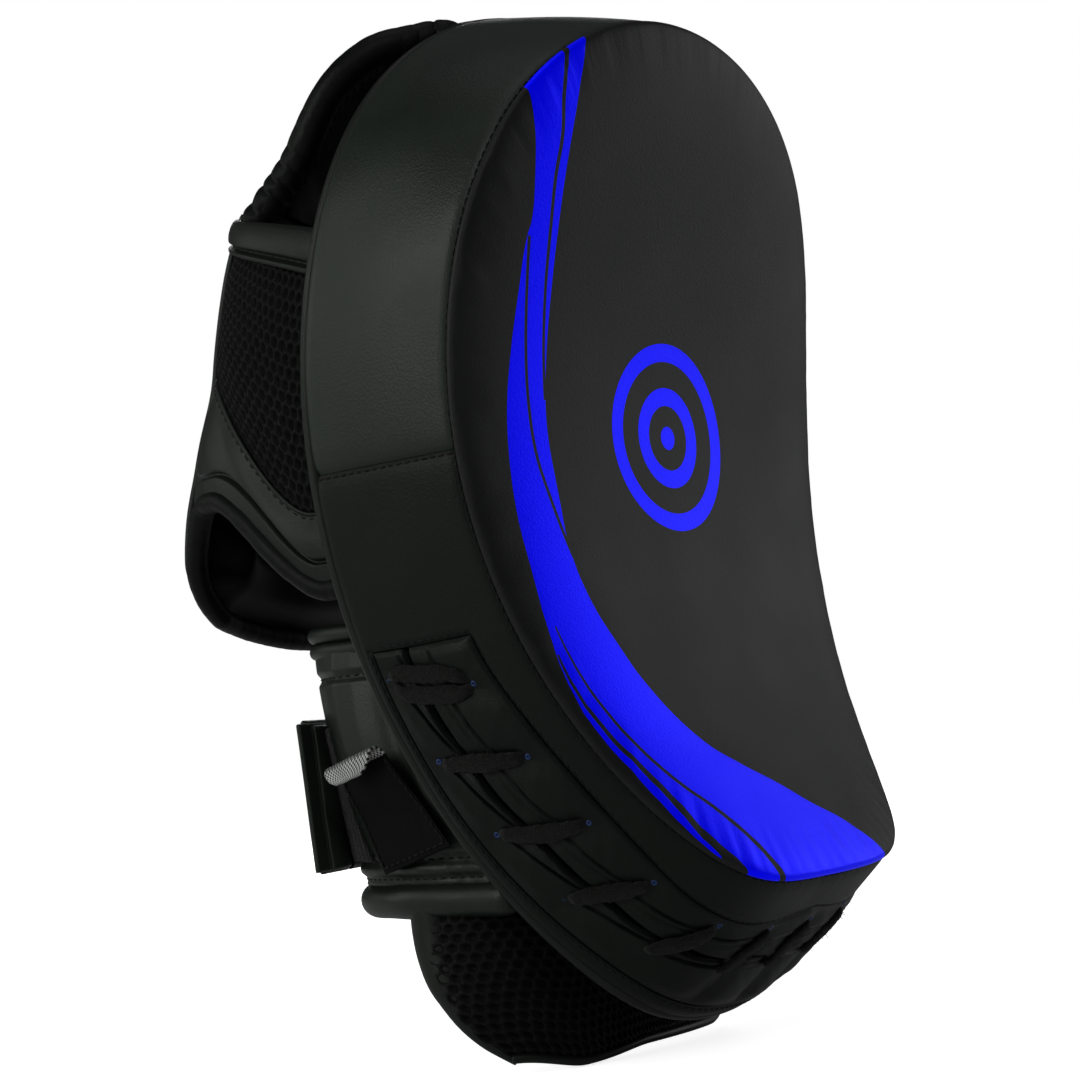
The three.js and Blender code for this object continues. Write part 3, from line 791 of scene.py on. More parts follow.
def wall_out(turn, depth):
    """How far the side wall stands out of the outline: it swells between its seams."""
    arc = arc_at(turn)
    swell = 1.0 * hump(depth / PAD_THICKNESS)
    front_tuck = -1.5 * np.exp(-np.clip(depth - 1.0, 0, None) / 1.2)
    back_turn = -4.5 * (1 - np.sqrt(1 - np.clip((depth - 48.5) / 5.5, 0, 1) ** 2))
    pucker = 0.14 * np.exp(-depth / 4.0) * ripple(arc / 2.4, 2.0)
    slow = 0.35 * ripple(arc / 21.0 + depth / 30.0, 0.7)
    return swell + front_tuck + back_turn + pucker + slow - drawn_in(turn, depth)


def wall_point(turn, depth, extra=0.0):
    x, s = outline_at(turn, wall_out(turn, depth) + extra)
    return pad_point(x, s, depth)


def seam_dip(turn):
    """The wall dips where its two panels are sewn together."""
    away = np.minimum(np.abs(turn - WALL_SEAM_TURN), np.abs(turn - 360 + WALL_SEAM_TURN))
    return -1.1 * np.exp(-away / 0.55)


def make_upper_wall():
    """The wall's plain panel, over the top and down to a seam at each side."""
    half = WALL_SEAM_TURN + 0.12

    def place(u, v):
        turn = mix(-half, half, u) % 360
        return wall_point(turn, mix(0.6, 53.4, v), seam_dip(turn))

    # Its leather is the lighter, greener copy of the wall leather, painted light.
    skin = shell("wall_upper_skin", place, (420, 40), 1.5, 1.0, LOOK["wall"])
    finished(skin, "wall_leather", "side_wall_upper")


PLACKET_END = 145.0  # distance round the outline from the foot to the ends of the laced opening
LACE_RUN = 27.0
LACE_HALF_THICK = 0.95
LACE_SIDES = 24
LACES = {"first": 131.0, "pitch": 22.4, "count": 13, "slant": 8.5, "extra_slant": 5.0}
# The lines of the laced opening, as (distance round from the foot, depth behind the edge seam).
PLACKET_LINES = {
    "front_stitch": [(0, 14), (24, 17.5), (49, 15.5), (72, 12), (94, 11), (115, 12), (135, 14), (147, 14.5)],
    "back_stitch": [
        (0, 49.5), (24, 47.5), (49, 46.5), (72, 47), (94, 48), (115, 48.5), (135, 48.5), (147, 48),
    ],
    "front_hole": [(0, 20), (42, 20), (65, 18), (89, 18), (111, 19.5), (131, 21.5)],
    "back_hole": [(0, 33), (31, 33.5), (55, 35.5), (80, 38.5), (101, 41), (121, 43), (139, 45)],
    "slit": [(0, 29.5), (40, 30), (74, 31), (97, 33), (118, 35), (135, 36.5), (147, 37)],
}


def placket_line(name, arc):
    points = catmull_rom(PLACKET_LINES[name], 200)
    return np.interp(np.abs(arc), points[:, 0], points[:, 1])


def lace_slant(arc):
    """How much further round a lace's back hole is than its front one."""
    share = np.clip(arc / LACES["first"], -1, 1)
    return LACES["slant"] + LACES["extra_slant"] * np.cos(share * math.pi / 2)


def crossing_phase(arc, depth):
    """0 along one slanted lace crossing and 1 along the next."""
    straight = arc - lace_slant(arc) * (depth - 20) / 22
    return ((LACES["first"] - straight) / LACES["pitch"]) % 1.0


def skewed(arc, depth):
    """The laced opening's ends slant: they lie further round at the back."""
    far = np.abs(arc)
    return arc + np.sign(arc) * 0.17 * (depth - 33) * ease(90, 145, far) * ease(185, 150, far)


def seam_groove(depth, arc):
    """The wall and the flaps both dip into the stitched line that joins them."""
    front = np.abs(depth - placket_line("front_stitch", arc))
    back = np.abs(depth - placket_line("back_stitch", arc))
    ends = np.abs(np.abs(arc) - PLACKET_END)
    near = np.where(np.abs(arc) < PLACKET_END + 1, np.minimum(front, back), 9.0)
    inside = depth > placket_line("front_stitch", arc) - 1
    inside &= depth < placket_line("back_stitch", arc) + 1
    near = np.minimum(near, np.where(inside, ends, 9.0))
    return -0.75 * bump(0, 1.5, near)


def make_lower_wall():
    """The lower wall with its laced window, and the folded edge round that window."""
    reach = float(arc_at(360 - WALL_SEAM_TURN - 0.1))
    inner = np.linspace(-PLACKET_END, PLACKET_END, 401)
    outer = PLACKET_END + np.array([0.5, 1, 1.6, 2.5, 4, 6, 9, 13, 18])
    outer = np.concatenate([outer, np.linspace(PLACKET_END + 23, reach, 12)])
    arcs = np.concatenate([-outer[::-1], inner, outer])
    turns = turn_at(arcs)
    front = placket_line("front_stitch", arcs)
    back = placket_line("back_stitch", arcs)
    rails = np.concatenate([np.linspace(0, 1, 12), np.linspace(1, 2, 22)[1:], np.linspace(2, 3, 8)[1:]])
    depth = np.empty((len(turns), len(rails)))
    for i in range(len(turns)):
        depth[i] = np.interp(rails, [0, 1, 2, 3], [0.6, front[i], back[i], 53.4])
    turn = turn_at(skewed(arcs[:, None], depth))
    points = wall_point(turn, depth, seam_dip(turn) + seam_groove(depth, arcs[:, None] + 0 * depth))
    quads = grid_faces(len(turns), len(rails))
    row, column = quads[:, 0] // len(rails), quads[:, 0] % len(rails)
    first_row = len(outer)
    in_window = (row >= first_row) & (row < first_row + len(inner) - 1)
    in_window &= (rails[column] >= 1) & (rails[column] < 2)
    skin = make_object("wall_lower_skin", points.reshape(-1, 3), quads[~in_window], LOOK["wall_lower"])
    thicken = skin.modifiers.new("skin", "SOLIDIFY")
    thicken.thickness = 1.3 * MM
    thicken.offset = -1
    soften = skin.modifiers.new("soft_edges", "BEVEL")
    soften.width = 0.4 * MM
    soften.segments = 2
    soften.limit_method = "ANGLE"
    finished(skin, "wall_leather", "side_wall_lower")


def flap_height(arc, depth):
    """The flaps' surface: drawn in along each lace, swollen between, with creases from lace to lace."""
    phase = crossing_phase(arc, depth)
    slit = placket_line("slit", arc)
    front, back = placket_line("front_stitch", arc), placket_line("back_stitch", arc)
    inner = ease(0, 5, np.minimum(depth - front, back - depth)) * ease(0, 4, PLACKET_END - np.abs(arc))
    swell = hump(phase)
    height = 0.9 * swell - 0.35 * bump(0, 0.3, np.minimum(phase, 1 - phase))
    crease = mix(placket_line("back_hole", arc) - 1.0, slit + 1.5, phase**0.8)
    height = height - 1.5 * bump(crease, 1.0, depth) * (0.45 + 0.55 * swell)
    height = height + 0.5 * bump(crease - 2.2, 1.8, depth) * swell
    front_crease = slit - 6.8 - 1.6 * phase
    height = height - 1.2 * bump(front_crease, 0.8, depth) * (0.4 + 0.6 * swell)
    height = height - 0.5 * bump(front_crease + 2.4, 0.9, depth) * swell**2
    height = height + 0.12 * ripple(arc / 3.3 + depth / 4.0, 3.0)
    return height * inner + seam_groove(depth, arc)


def make_flaps():
    """The two flaps that the lace draws together, folded under along the slit."""
    for name in ("front", "back"):

        def place(u, v, name=name):
            arc = mix(-PLACKET_END, PLACKET_END, u)
            slit = placket_line("slit", arc) + 0.3 * ripple(arc / 9.0, 1.0)
            if name == "front":
                depth = mix(placket_line("front_stitch", arc), slit - 0.2, v)
                fold = ease(1.3, 0.0, slit - 0.2 - depth)
            else:
                depth = mix(slit + 0.2, placket_line("back_stitch", arc), v)
                fold = ease(1.3, 0.0, depth - slit - 0.2)
            return wall_point(turn_at(skewed(arc, depth)), depth, flap_height(arc, depth) - 1.8 * fold)

        skin = shell("flap_" + name + "_skin", place, (1000, 60), 1.5, 0.5, LOOK["wall_lower"])
        finished(skin, "wall_leather", "lacing_flap_" + name)


def lace_strand(number, shift, front, back):
    """The rings of one flat strand between two holes, each given as its arc and its depth."""
    share = np.linspace(0, 1, 90)
    from_end = np.minimum(share, 1 - share) * LACE_RUN
    arc = mix(front[0], back[0], share) + shift * rounded(from_end, 7.0)
    arc = arc + 0.5 * ripple(share * 3 + number, number)
    depth = mix(front[1], back[1], share)
    lift = mix(-2.6, 0.75, rounded(from_end, 2.6)) + 0.3 * hump(share)
    points = wall_point(turn_at(arc), depth, lift)
    ups = points - wall_point(turn_at(arc), depth, lift - 1.0)
    width = 1.1 + 1.6 * hump(share, 0.6) + 0.3 * ripple(share * 14, number + shift)
    turn = round_turns(LACE_SIDES)
    fuzz = 0.16 * ripple(share[:, None] * 170 + turn * 5, number + 1.0) * np.cos(turn * 7 + number)
    return tube_points(points, LACE_HALF_THICK + fuzz, LACE_SIDES, width / LACE_HALF_THICK, ups)


def make_lace():
    """A flat fuzzy lace across the outside at each crossing, going down into its two holes."""
    parts, rings = [], []
    for number in range(LACES["count"]):
        front_arc = LACES["first"] - LACES["pitch"] * number
        back_arc = front_arc + float(lace_slant(front_arc))
        front = front_arc, float(placket_line("front_hole", front_arc))
        back = back_arc, float(placket_line("back_hole", back_arc))
        doubled = number in (0, LACES["count"] - 1)
        for shift in (-2.7, 2.7) if doubled else (0.0,):
            strand = lace_strand(number, shift, front, back)
            parts.append((strand, tube_faces(len(strand), LACE_SIDES)))
            parts.extend(fuzz_on(strand, number * 10 + shift))
        for (arc, hole), beyond in ((front, -1.0), (back, 1.0)):
            spot = wall_point(turn_at(arc + 0.5 * beyond), hole + beyond, -0.35)
            out = unit(wall_point(turn_at(arc), hole, 1.0) - wall_point(turn_at(arc), hole, 0.0))
            rings.append((spot, out))
    finished(joined("lace_strands", parts, LOOK["lace"]), "lace_cord", "lace")
    make_eyelets(rings)


def fuzz_on(rings, seed):
    """Short fibres standing off a lace: they start on its surface and lie over at all angles."""
    middles = rings.mean(1)
    parts = []
    for i in range(150):
        row = 6 + int((i * 7.31 + seed * 3.7) % (len(rings) - 14))
        root = rings[row, int(i * 5.3 + seed) % rings.shape[1]]
        out = unit(root - middles[row])
        drift = np.array([math.sin(i * 2.1 + seed), math.sin(i * 3.7 + 1), math.sin(i * 5.9 + 2)])
        tip = root + (out + 0.9 * drift) * (0.55 + 0.35 * math.sin(i * 1.3))
        path = np.stack([root - out * 0.2, mix(root, tip, 0.5) + out * 0.15, tip])
        parts.append(pipe(path, 0.055, 3))
    return parts


def make_eyelets(places):
    """A small enamelled ring at each lace hole."""
    parts = []
    turn = np.linspace(0, 2 * math.pi, 25)
    for spot, out in places:
        side = unit(np.cross(out, [0.3, 0.2, 1.0]))
        up = np.cross(out, side)
        ring = spot + 0.6 * (np.cos(turn)[:, None] * side + np.sin(turn)[:, None] * up)
        parts.append(pipe(ring, 0.42, 8, 1.0, np.broadcast_to(out, ring.shape)))
    finished(joined("lace_eyelets", parts, LOOK["enamel"]), "lace_cord")


def make_back():
    """The pad's leatherette back, with a bound edge."""

    def place(u, v):
        x, s = edge_at(360 * u, PAD_THICKNESS, -3.4)
        return pad_point(x * (1 - 0.98 * v), s * (1 - 0.98 * v), PAD_THICKNESS + 0 * v)

    skin = shell("back_skin", place, (240, 30), 1.5, 1.0, LOOK["glove"], flip=True, wrap=True)
    finished(skin, "wall_leather", "back_cover")


def make_pad_seams():
    """The welts and stitches round the pad."""
    turns = np.linspace(0, 360, 900)
    welt = pad_point(*edge_at(turns, 0.0, -0.75), 0.75)
    finished(tube("face_welt", welt[:-1], 0.6, LOOK["wall"], 10), "wall_leather")
    binding = pad_point(*edge_at(turns, PAD_THICKNESS, -2.5), PAD_THICKNESS - 1.3)
    finished(tube("back_edge_binding", binding[:-1], 2.0, LOOK["glove"], 12), "wall_leather")

    def wall_line(turn, depth, lift):
        points = wall_point(turn, depth, lift)
        return points, unit(points - wall_point(turn, depth, lift - 1.0))

    seams = [wall_line(turns % 360, np.full_like(turns, 1.7), 0.15)]
    lower = np.linspace(-PLACKET_END, PLACKET_END, 500)
    for name in ("front_stitch", "back_stitch"):
        beyond = -0.9 if name == "front_stitch" else 0.9
        depth = placket_line(name, lower) + beyond
        seams.append(wall_line(turn_at(skewed(lower, depth)), depth, -0.35))
    for end in (-PLACKET_END, PLACKET_END):
        depth = np.linspace(placket_line("front_stitch", end), placket_line("back_stitch", end), 60)
        seams.append(wall_line(turn_at(skewed(end + math.copysign(0.9, end), depth)), depth, -0.35))
    for turn in (WALL_SEAM_TURN + 0.35, 360 - WALL_SEAM_TURN - 0.35):
        depth = np.linspace(2, 52, 80)
        seams.append(wall_line(np.full(80, turn), depth, -0.55))
    sew("pad_stitches", seams, 2.9)


# ---- Glove --------------------------------------------------------------------------------------

GLOVE_REAR = catmull_rom([(-60, 142), (-28, 149.5), (8, 140.5), (32, 132), (58, 127), (86, 118.5)])


def plan_point(angle, half_width, base, rear, out, z):
    """A point of a rounded-box plan: angle from straight back, and out past its outside."""
    a = np.radians(angle)
    wide = (np.abs(np.sin(a)) / half_width) ** CORNER
    deep = (np.abs(np.cos(a)) / (rear - base)) ** CORNER
    reach = (wide + deep) ** (-1 / CORNER) + out
    return stack(reach * np.sin(a), base + reach * np.cos(a), z)


def glove_point(angle, z, out):
    """The glove narrows a little above the knuckles and draws in towards the wrist."""
    half_width = GLOVE_HALF_WIDTH - 0.15 * np.clip(np.asarray(z, float) - 40, 0, None)
    tuck = ease(-20, -50, np.asarray(z, float))
    half_width = half_width - 2.5 * tuck
    rear = np.interp(z, GLOVE_REAR[:, 0], GLOVE_REAR[:, 1]) - 5.0 * tuck
    return plan_point(angle, half_width, pad_back(z), rear, out, z)


def opening_rim(angle):
    """The height of the rim of the hand opening: low at the lobe and at the pad, high between them."""
    a = np.abs(angle)
    return -46 + 9 * (np.clip(a, 0, 33) / 33) ** 2 + 32 * ease(30, 50, a) - 31 * ease(54, 82, a)


def mesh_bottom(angle):
    """The height of the lower edge of the mesh window, which falls towards the pad."""
    a = np.abs(angle)
    return -15 + 47 * (1 - ease(46, 82, a))


def binding_bottom(angle):
    return 57 + 0.48 * (80 - np.abs(angle))


def binding_top(angle):
    return 68.3 + 0.35 * (81 - np.abs(angle))


def glove_surface(angles, bottom, top, out):
    """place(u, v) between two angles and two edges. out(angle, z, v) is how far it stands out."""

    def place(u, v):
        angle = mix(angles[0], angles[1], u)
        z = mix(bottom(angle), top(angle), v)
        return glove_point(angle, z, out(angle, z, v))

    return place


def hex_holes(across, up, pitch, radius, soft):
    """0 on the ribs of a honeycomb and 1 in its holes."""
    row = pitch * math.sqrt(3) / 2
    nearest = np.full(np.shape(across), 1e9)
    for shift in (0, 1):
        line = np.round((up - shift * row) / (2 * row)) * 2 * row + shift * row
        column = np.round((across - shift * pitch / 2) / pitch) * pitch + shift * pitch / 2
        nearest = np.minimum(nearest, np.hypot(across - column, up - line))
    return ease(radius + soft, radius - soft, nearest)


def air_mesh(name, surface, grain, flip, nodes):
    """A panel of spacer mesh. surface(u, v, out) is its place; its holes are sunk into it."""
    middle = np.linspace(0, 1, 60)
    half = np.full(60, 0.5)
    length_u = arc_length(surface(middle, half, 0.0))[-1]
    length_v = arc_length(surface(half, middle, 0.0))[-1]
    rows, columns = int(length_u / grain), int(length_v / grain)
    u, v = np.meshgrid(np.linspace(0, 1, rows), np.linspace(0, 1, columns), indexing="ij")
    holes = hex_holes(u * length_u, v * length_v, 3.4, 1.12, 0.32)
    points = surface(u, v, -1.5 * holes)
    quads = grid_faces(rows, columns)
    piece = make_object(name, points.reshape(-1, 3), quads[:, ::-1] if flip else quads, LOOK["air_mesh"])
    return finished(piece, "air_mesh", *nodes)


SIDE_EDGE = 38.0  # the angle where the back-of-hand panel ends and the side windows start
REAR_TOP = 84.0
CHANNEL = 12.7  # degrees between the seams of the back-of-hand panel


def make_side_windows():
    """The air mesh at each side of the hand."""
    for side, sign in SIDES:

        def surface(u, v, out, sign=sign):
            angle = sign * mix(SIDE_EDGE - 1, 88.5, u)
            z = mix(mesh_bottom(angle) - 3, binding_bottom(angle) + 3, v)
            swell = 2.2 * hump(v) * hump(u, 0.5)
            sag = 0.5 * ripple(u * 7 + v * 5, 2.0 + sign)
            return glove_point(angle, z, -1.7 + out + swell + sag)

        air_mesh("air_mesh_" + side, surface, 0.42, sign > 0, ["side_mesh_" + side])


def make_top_bindings():
    """The folded leather over each mesh window, with a stitched groove."""
    seams = []
    for side, sign in SIDES:

        def out(angle, z, v):
            groove = 1.3 * bump(0.25, 0.09, v)
            swell = 1.7 * hump((v - 0.2) / 0.8, 0.6)
            lower = 0.7 * hump(v / 0.25)
            return 0.8 + swell + lower - groove + 0.2 * ripple(np.abs(angle) / 7 + v, 1.0)

        angles = (sign * 88.5, sign * 39.5)
        place = glove_surface(angles, lambda a: binding_bottom(a) - 2, lambda a: binding_top(a) + 1.5, out)
        skin = shell("top_binding_skin_" + side, place, (120, 44), 4.6, 2.3, LOOK["glove"], flip=sign < 0)
        finished(skin, "wall_leather", "top_binding_" + side)
        u = np.linspace(0.03, 0.97, 120)
        seams.append(seam_on(place, u, 0.25, -0.1, flip=sign < 0))
    sew("top_binding_stitches", seams)


def make_lower_bands():
    """The leather between the mesh windows and the rolled rim, with a piped groove across it."""
    seams, pipes = [], []
    for side, sign in SIDES:

        def out(angle, z, v):
            above = z - opening_rim(angle)
            slope = np.abs(opening_rim(angle + 0.5) - opening_rim(angle - 0.5))
            true = above / np.hypot(1, slope / 1.5)
            groove = 1.7 * bump(8.0, 1.1, true)
            top = 1.2 * ease(0.0, 1.0, v) ** 8
            swell = 0.9 * hump(v)
            return 0.5 + swell - groove - top + 0.22 * ripple(np.abs(angle) / 4 + z / 9, 3.0 + sign)

        angles = (sign * 88.5, sign * (SIDE_EDGE - 0.2))
        place = glove_surface(angles, lambda a: opening_rim(a) - 0.5, lambda a: mesh_bottom(a) + 1.0, out)
        skin = shell("lower_band_skin_" + side, place, (180, 60), 2.6, 1.0, LOOK["glove"], flip=sign < 0)
        finished(skin, "wall_leather", "lower_band_" + side)
        u = np.linspace(0.02, 0.98, 160)
        seams.append(seam_on(place, u, 0.94, -0.1, flip=sign < 0))
        edge, outs = seam_on(place, u, 1.0, -0.3, flip=sign < 0)
        pipes.append(pipe(edge, 0.6, 10, 1.0, outs))
    sew("lower_band_stitches", seams)
    finished(joined("mesh_edge_piping", pipes, LOOK["glove"]), "wall_leather")


def make_opening_rim():
    """The roll round the hand opening, with a stitch line above it."""
    angles = np.linspace(-88, 88, 700)
    points = glove_point(angles, opening_rim(angles), -1.2)
    arc = arc_length(points)
    radius = RIM_RADIUS + 0.12 * ripple(arc / 6, 2.0) + 0.08 * ripple(arc / 1.7, 5.0)
    rim = tube("opening_rim_roll", points, radius, LOOK["edge"], 26)
    finished(rim, "wall_leather", "opening_rim")
    outs = unit(points - glove_point(angles, opening_rim(angles), -4.0))
    above = glove_point(angles, opening_rim(angles) + 3.4, 0.55)
    sew("rim_stitches", [(above, outs)])


def make_rear_cover():
    """The back-of-hand leather, padded in three lengthways channels, with its long lobe."""

    def out(angle, z, v):
        channels = 1.7 * np.abs(np.sin(np.radians(angle) * 180 / (2 * CHANNEL))) ** 0.6
        fade = hump(v, 0.4)
        return 0.2 + channels * fade + 0.3 * ripple(angle / 5 + z / 14, 4.0)

    angles = (-SIDE_EDGE - 0.4, SIDE_EDGE + 0.4)
    place = glove_surface(angles, lambda a: opening_rim(a) + 0.5, lambda a: REAR_TOP, out)
    skin = shell("rear_cover_skin", place, (220, 150), 2.2, 1.0, LOOK["glove"], flip=True)
    finished(skin, "wall_leather", "rear_cover")
    seams = []
    for sign in (-1, 1):
        for angle in (CHANNEL, 2 * CHANNEL):
            u = 0.5 + sign * angle / (2 * SIDE_EDGE + 0.8)
            seams.append(seam_on(place, u, np.linspace(0.04, 0.97, 300), 0.0, flip=True))
    u = np.linspace(0.02, 0.98, 200)
    seams.append(seam_on(place, u, 0.975, 0.0, flip=True))
    sew("rear_cover_stitches", seams)
    pipes = []
    for sign in (-1, 1):
        v = np.linspace(0, 1, 160)
        edge, outs = seam_on(place, 0.5 + sign * 0.4995, v, 0.5, flip=True)
        pipes.append(pipe(edge, 1.3, 10, 1.0, outs))
    finished(joined("rear_cover_piping", pipes, LOOK["glove"]), "wall_leather")


def make_rear_lining():
    """The soft inside of the lobe: foam, then cloth turned round the foam's edges up to the cover."""

    def at_edges(u, v):
        side = 1 - ease(0.0, 0.07, np.minimum(u, 1 - u))
        return np.maximum(side, 1 - ease(0.0, 0.08, v))

    def place(u, v):
        angle = mix(-SIDE_EDGE + 1.0, SIDE_EDGE - 1.0, u)
        z = mix(opening_rim(angle) + 2.0, 81.0, v)
        ridge = 2.4 * bump(opening_rim(angle) + 17, 7, z) - 1.4 * bump(opening_rim(angle) + 25, 5, z)
        full = 13.0 + 2.0 * hump(v, 0.5) * (0.4 + np.cos(np.radians(angle * 2.5)))
        inwards = mix(full + ridge, 2.6, at_edges(u, v))
        return glove_point(angle, z, -inwards + 0.5 * ripple(angle / 7 + z / 11, 1.0))

    lining = shell("rear_lining_cloth", place, (150, 150), 1.4, 0.7, LOOK["satin"], flip=True)
    finished(lining, "lining_cloth", "rear_lining")

    def filled(u, v):
        angle = mix(-SIDE_EDGE + 7.0, SIDE_EDGE - 7.0, u)
        return glove_point(angle, mix(opening_rim(angle) + 14.0, 77.0, v), -3.2)

    filling = shell("hand_pad_filling", filled, (70, 70), 7.0, 3.0, LOOK["foam"], flip=True)
    finished(filling, "foam", "hand_pad_foam")


# ---- Finger hood --------------------------------------------------------------------------------

HOOD_MIDDLE = catmull_rom([(0, 121, 82), (0, 112, 106), (0, 90, 128), (0, 62, 136.5), (0, 38.5, 136.5)])
HEM = catmull_rom(
    [(-63, 92.5, 82), (-60.5, 82, 94), (-58, 70, 112), (-51, 59, 122.5), (-42, 50, 126), (-35, 44, 127.5)]
)
HEM_RADIUS = 4.0
HOOD_INSIDE = np.array([0, 66.0, 88.0])


def hood_point(u, v, inwards):
    """u from -1 at the left edge to 1 at the right, v up and over the fingers."""
    middle = along(HOOD_MIDDLE, np.clip(v, 0, 1))
    edge = along(HEM, np.clip(v, 0, 1))
    edge = edge + unit(middle - edge) * (HEM_RADIUS - 1.4)
    share = (np.abs(u) ** 2.6)[..., None]
    point = mix(middle, edge, share)
    point[..., 0] = -edge[..., 0] * u
    towards = np.broadcast_to(HOOD_INSIDE, point.shape).copy()
    towards[..., 0] = point[..., 0] * 0.6
    return point + unit(towards - point) * np.asarray(inwards)[..., None]


def gathers(along_hem):
    """How strongly the elastic gathers the hem, by share along it."""
    return 0.08 + 0.92 * np.maximum(1 - ease(0.05, 0.36, along_hem), 0.8 * ease(0.66, 0.97, along_hem))


def make_hood():
    def place(u, v):
        x = mix(-1, 1, u)
        near_hem = ease(0.72, 1.0, np.abs(x))
        arc = 100 * v + 14 * (1 - np.abs(x))
        folds = near_hem * gathers(v) * np.sin(arc * 2 * math.pi / 5.5 + np.sign(x))
        soft = 0.5 * ripple(v * 9 + x * 3, 2.0)
        seam = 1.1 * np.exp(-(((v - 0.52) * 100 / 1.6) ** 2))
        return hood_point(x, mix(0.0, 1.0, v), folds * 0.8 + soft + seam - 0.6)

    skin = shell("finger_hood_skin", place, (260, 240), 2.0, 0.9, LOOK["glove"], flip=True)
    finished(skin, "wall_leather", "finger_hood")

    def inside(u, v):
        x = mix(-0.985, 0.985, u)
        near_hem = ease(0.8, 1.0, np.abs(x))
        zigzag = near_hem * 0.9 * np.sin((110 * v + 60 * np.abs(x)) * 2 * math.pi / 4.6)
        ridge = 1.8 * np.exp(-(((np.abs(x) - 0.78) / 0.035) ** 2))
        return hood_point(x, mix(0.03, 0.97, v), 3.6 + ridge + zigzag + 0.4 * ripple(v * 12 + x * 5, 6.0))

    lining = shell("hood_lining_satin", inside, (160, 160), 0.9, 0.5, LOOK["satin"], flip=True)
    finished(lining, "lining_cloth", "hood_lining")
    seams = []
    for x in (0.012, 0.988):
        v = np.linspace(0.03, 0.97, 240)
        seams.append(seam_on(place, x, v, 0.0, flip=True))
    u = np.linspace(0.03, 0.97, 160)
    for v in (0.545, 0.02):
        seams.append(seam_on(place, u, v, 0.1, flip=True))
    sew("hood_stitches", seams, 3.0)


def make_hood_hems():
    """The rolled elastic hems: the leather gathers into slanting folds at both ends of each."""
    first = HEM[0] + (HEM[0] - HEM[8]) / np.linalg.norm(HEM[0] - HEM[8]) * 9.0
    last = HEM[-1] + np.array([2.5, -8.0, -3.0])
    lead = mix(first, HEM[0], np.linspace(0, 1, 30, endpoint=False)[:, None])
    path = np.vstack([lead, HEM, mix(HEM[-1], last, np.linspace(0, 1, 28)[1:, None])])
    share = np.linspace(0.0, 1.0, 700)
    sides = 44
    turn = round_turns(sides)
    for side, sign in SIDES:
        points = along(path, share)
        points[:, 0] -= 0.7
        points[:, 0] *= -sign
        arc = arc_length(points)[:, None]
        slanted = arc * 2 * math.pi / 5.6 + turn * 1.3 * sign + 1.6 * ripple(arc / 7, 4.0)
        strength = gathers(share)[:, None]
        uneven = 0.75 + 0.35 * ripple(arc / 5 + turn * 0.5, 2.0 + sign)
        folds = strength * uneven * (1.1 * np.abs(np.sin(slanted / 2)) ** 0.7 - 0.7)
        radius = HEM_RADIUS + 1.0 + folds + 0.25 * ripple(arc / 11, 1.0)
        radius = radius * (0.72 + 0.28 * rounded(np.minimum(share, 1 - share) * 120, 4.0))[:, None]
        rings = tube_points(points, radius, sides)
        faces = tube_faces(len(points), sides)
        piece = make_object("hood_hem_sleeve_" + side, rings.reshape(-1, 3), faces, LOOK["edge"])
        finished(piece, "wall_leather", "hood_hem_" + side)
        cord = tube("hem_elastic_cord_" + side, points[20:-20], 1.5, LOOK["elastic"], 12)
        finished(cord, "elastic_cord", "hem_elastic_" + side)


# ---- Wrist cuff, strap and label ----------------------------------------------------------------


def cuff_point(angle, z, out):
    rear = CUFF_REAR + CUFF_LEAN * (np.asarray(z, float) - STRAP_TOP)
    return plan_point(angle, CUFF_HALF_WIDTH, pad_back(z), rear, out, z)


def cuff_surface(angles, heights, out):
    def place(u, v):
        angle = mix(angles[0], angles[1], u)
        z = mix(heights[0], heights[1], v)
        return cuff_point(angle, z, out(u, v) if callable(out) else out)

    return place


WINGS = {"left": (-85, -22), "right": (40, 85)}
PIPING_Z = CUFF_TOP + 3
ROLL_Z = CUFF_BOTTOM - 5.4


def make_cuff():
    """Both wings of the cuff, with their creases, stitches and rolls."""
    seams = []
    for side, angles in WINGS.items():
        front = 0 if side == "left" else 1

        def out(u, v, front=front):
            from_front = np.abs(u - front)
            creases = 0.9 * np.exp(-from_front / 0.3) * ripple(from_front * 21 + v * 1.5, 1.0 + front)
            grooves = bump(0.62, 0.022, from_front) + bump(0.72, 0.02, from_front)
            creases = creases - 0.9 * grooves * ease(0.1, 0.3, v)
            creases = creases + 3.4 * bump(0.33, 0.22, from_front) * hump(v, 0.5)
            pleats = 1.3 * (bump(0.115, 0.035, v) + bump(0.04, 0.03, v))
            fold = 1.1 * bump(0.86, 0.03, v)
            swell = 1.6 * hump(v, 0.5)
            return -0.4 + swell + creases - pleats - fold + 0.3 * ripple(u * 7 + v * 4, 2.0)

        place = cuff_surface(angles, (CUFF_BOTTOM - 2, CUFF_TOP + 0.5), out)
        skin = shell("cuff_wing_skin_" + side, place, (150, 130), 6.0, 2.6, LOOK["cuff"], flip=True)
        finished(skin, "wall_leather", "cuff_wing_" + side)
        u = np.linspace(0.03, 0.97, 120)
        for v in (0.86, 0.115, 0.04):
            seams.append(seam_on(place, u, v, 0.0, flip=True))
        make_cuff_rolls(side, angles)
    sew("cuff_stitches", seams)


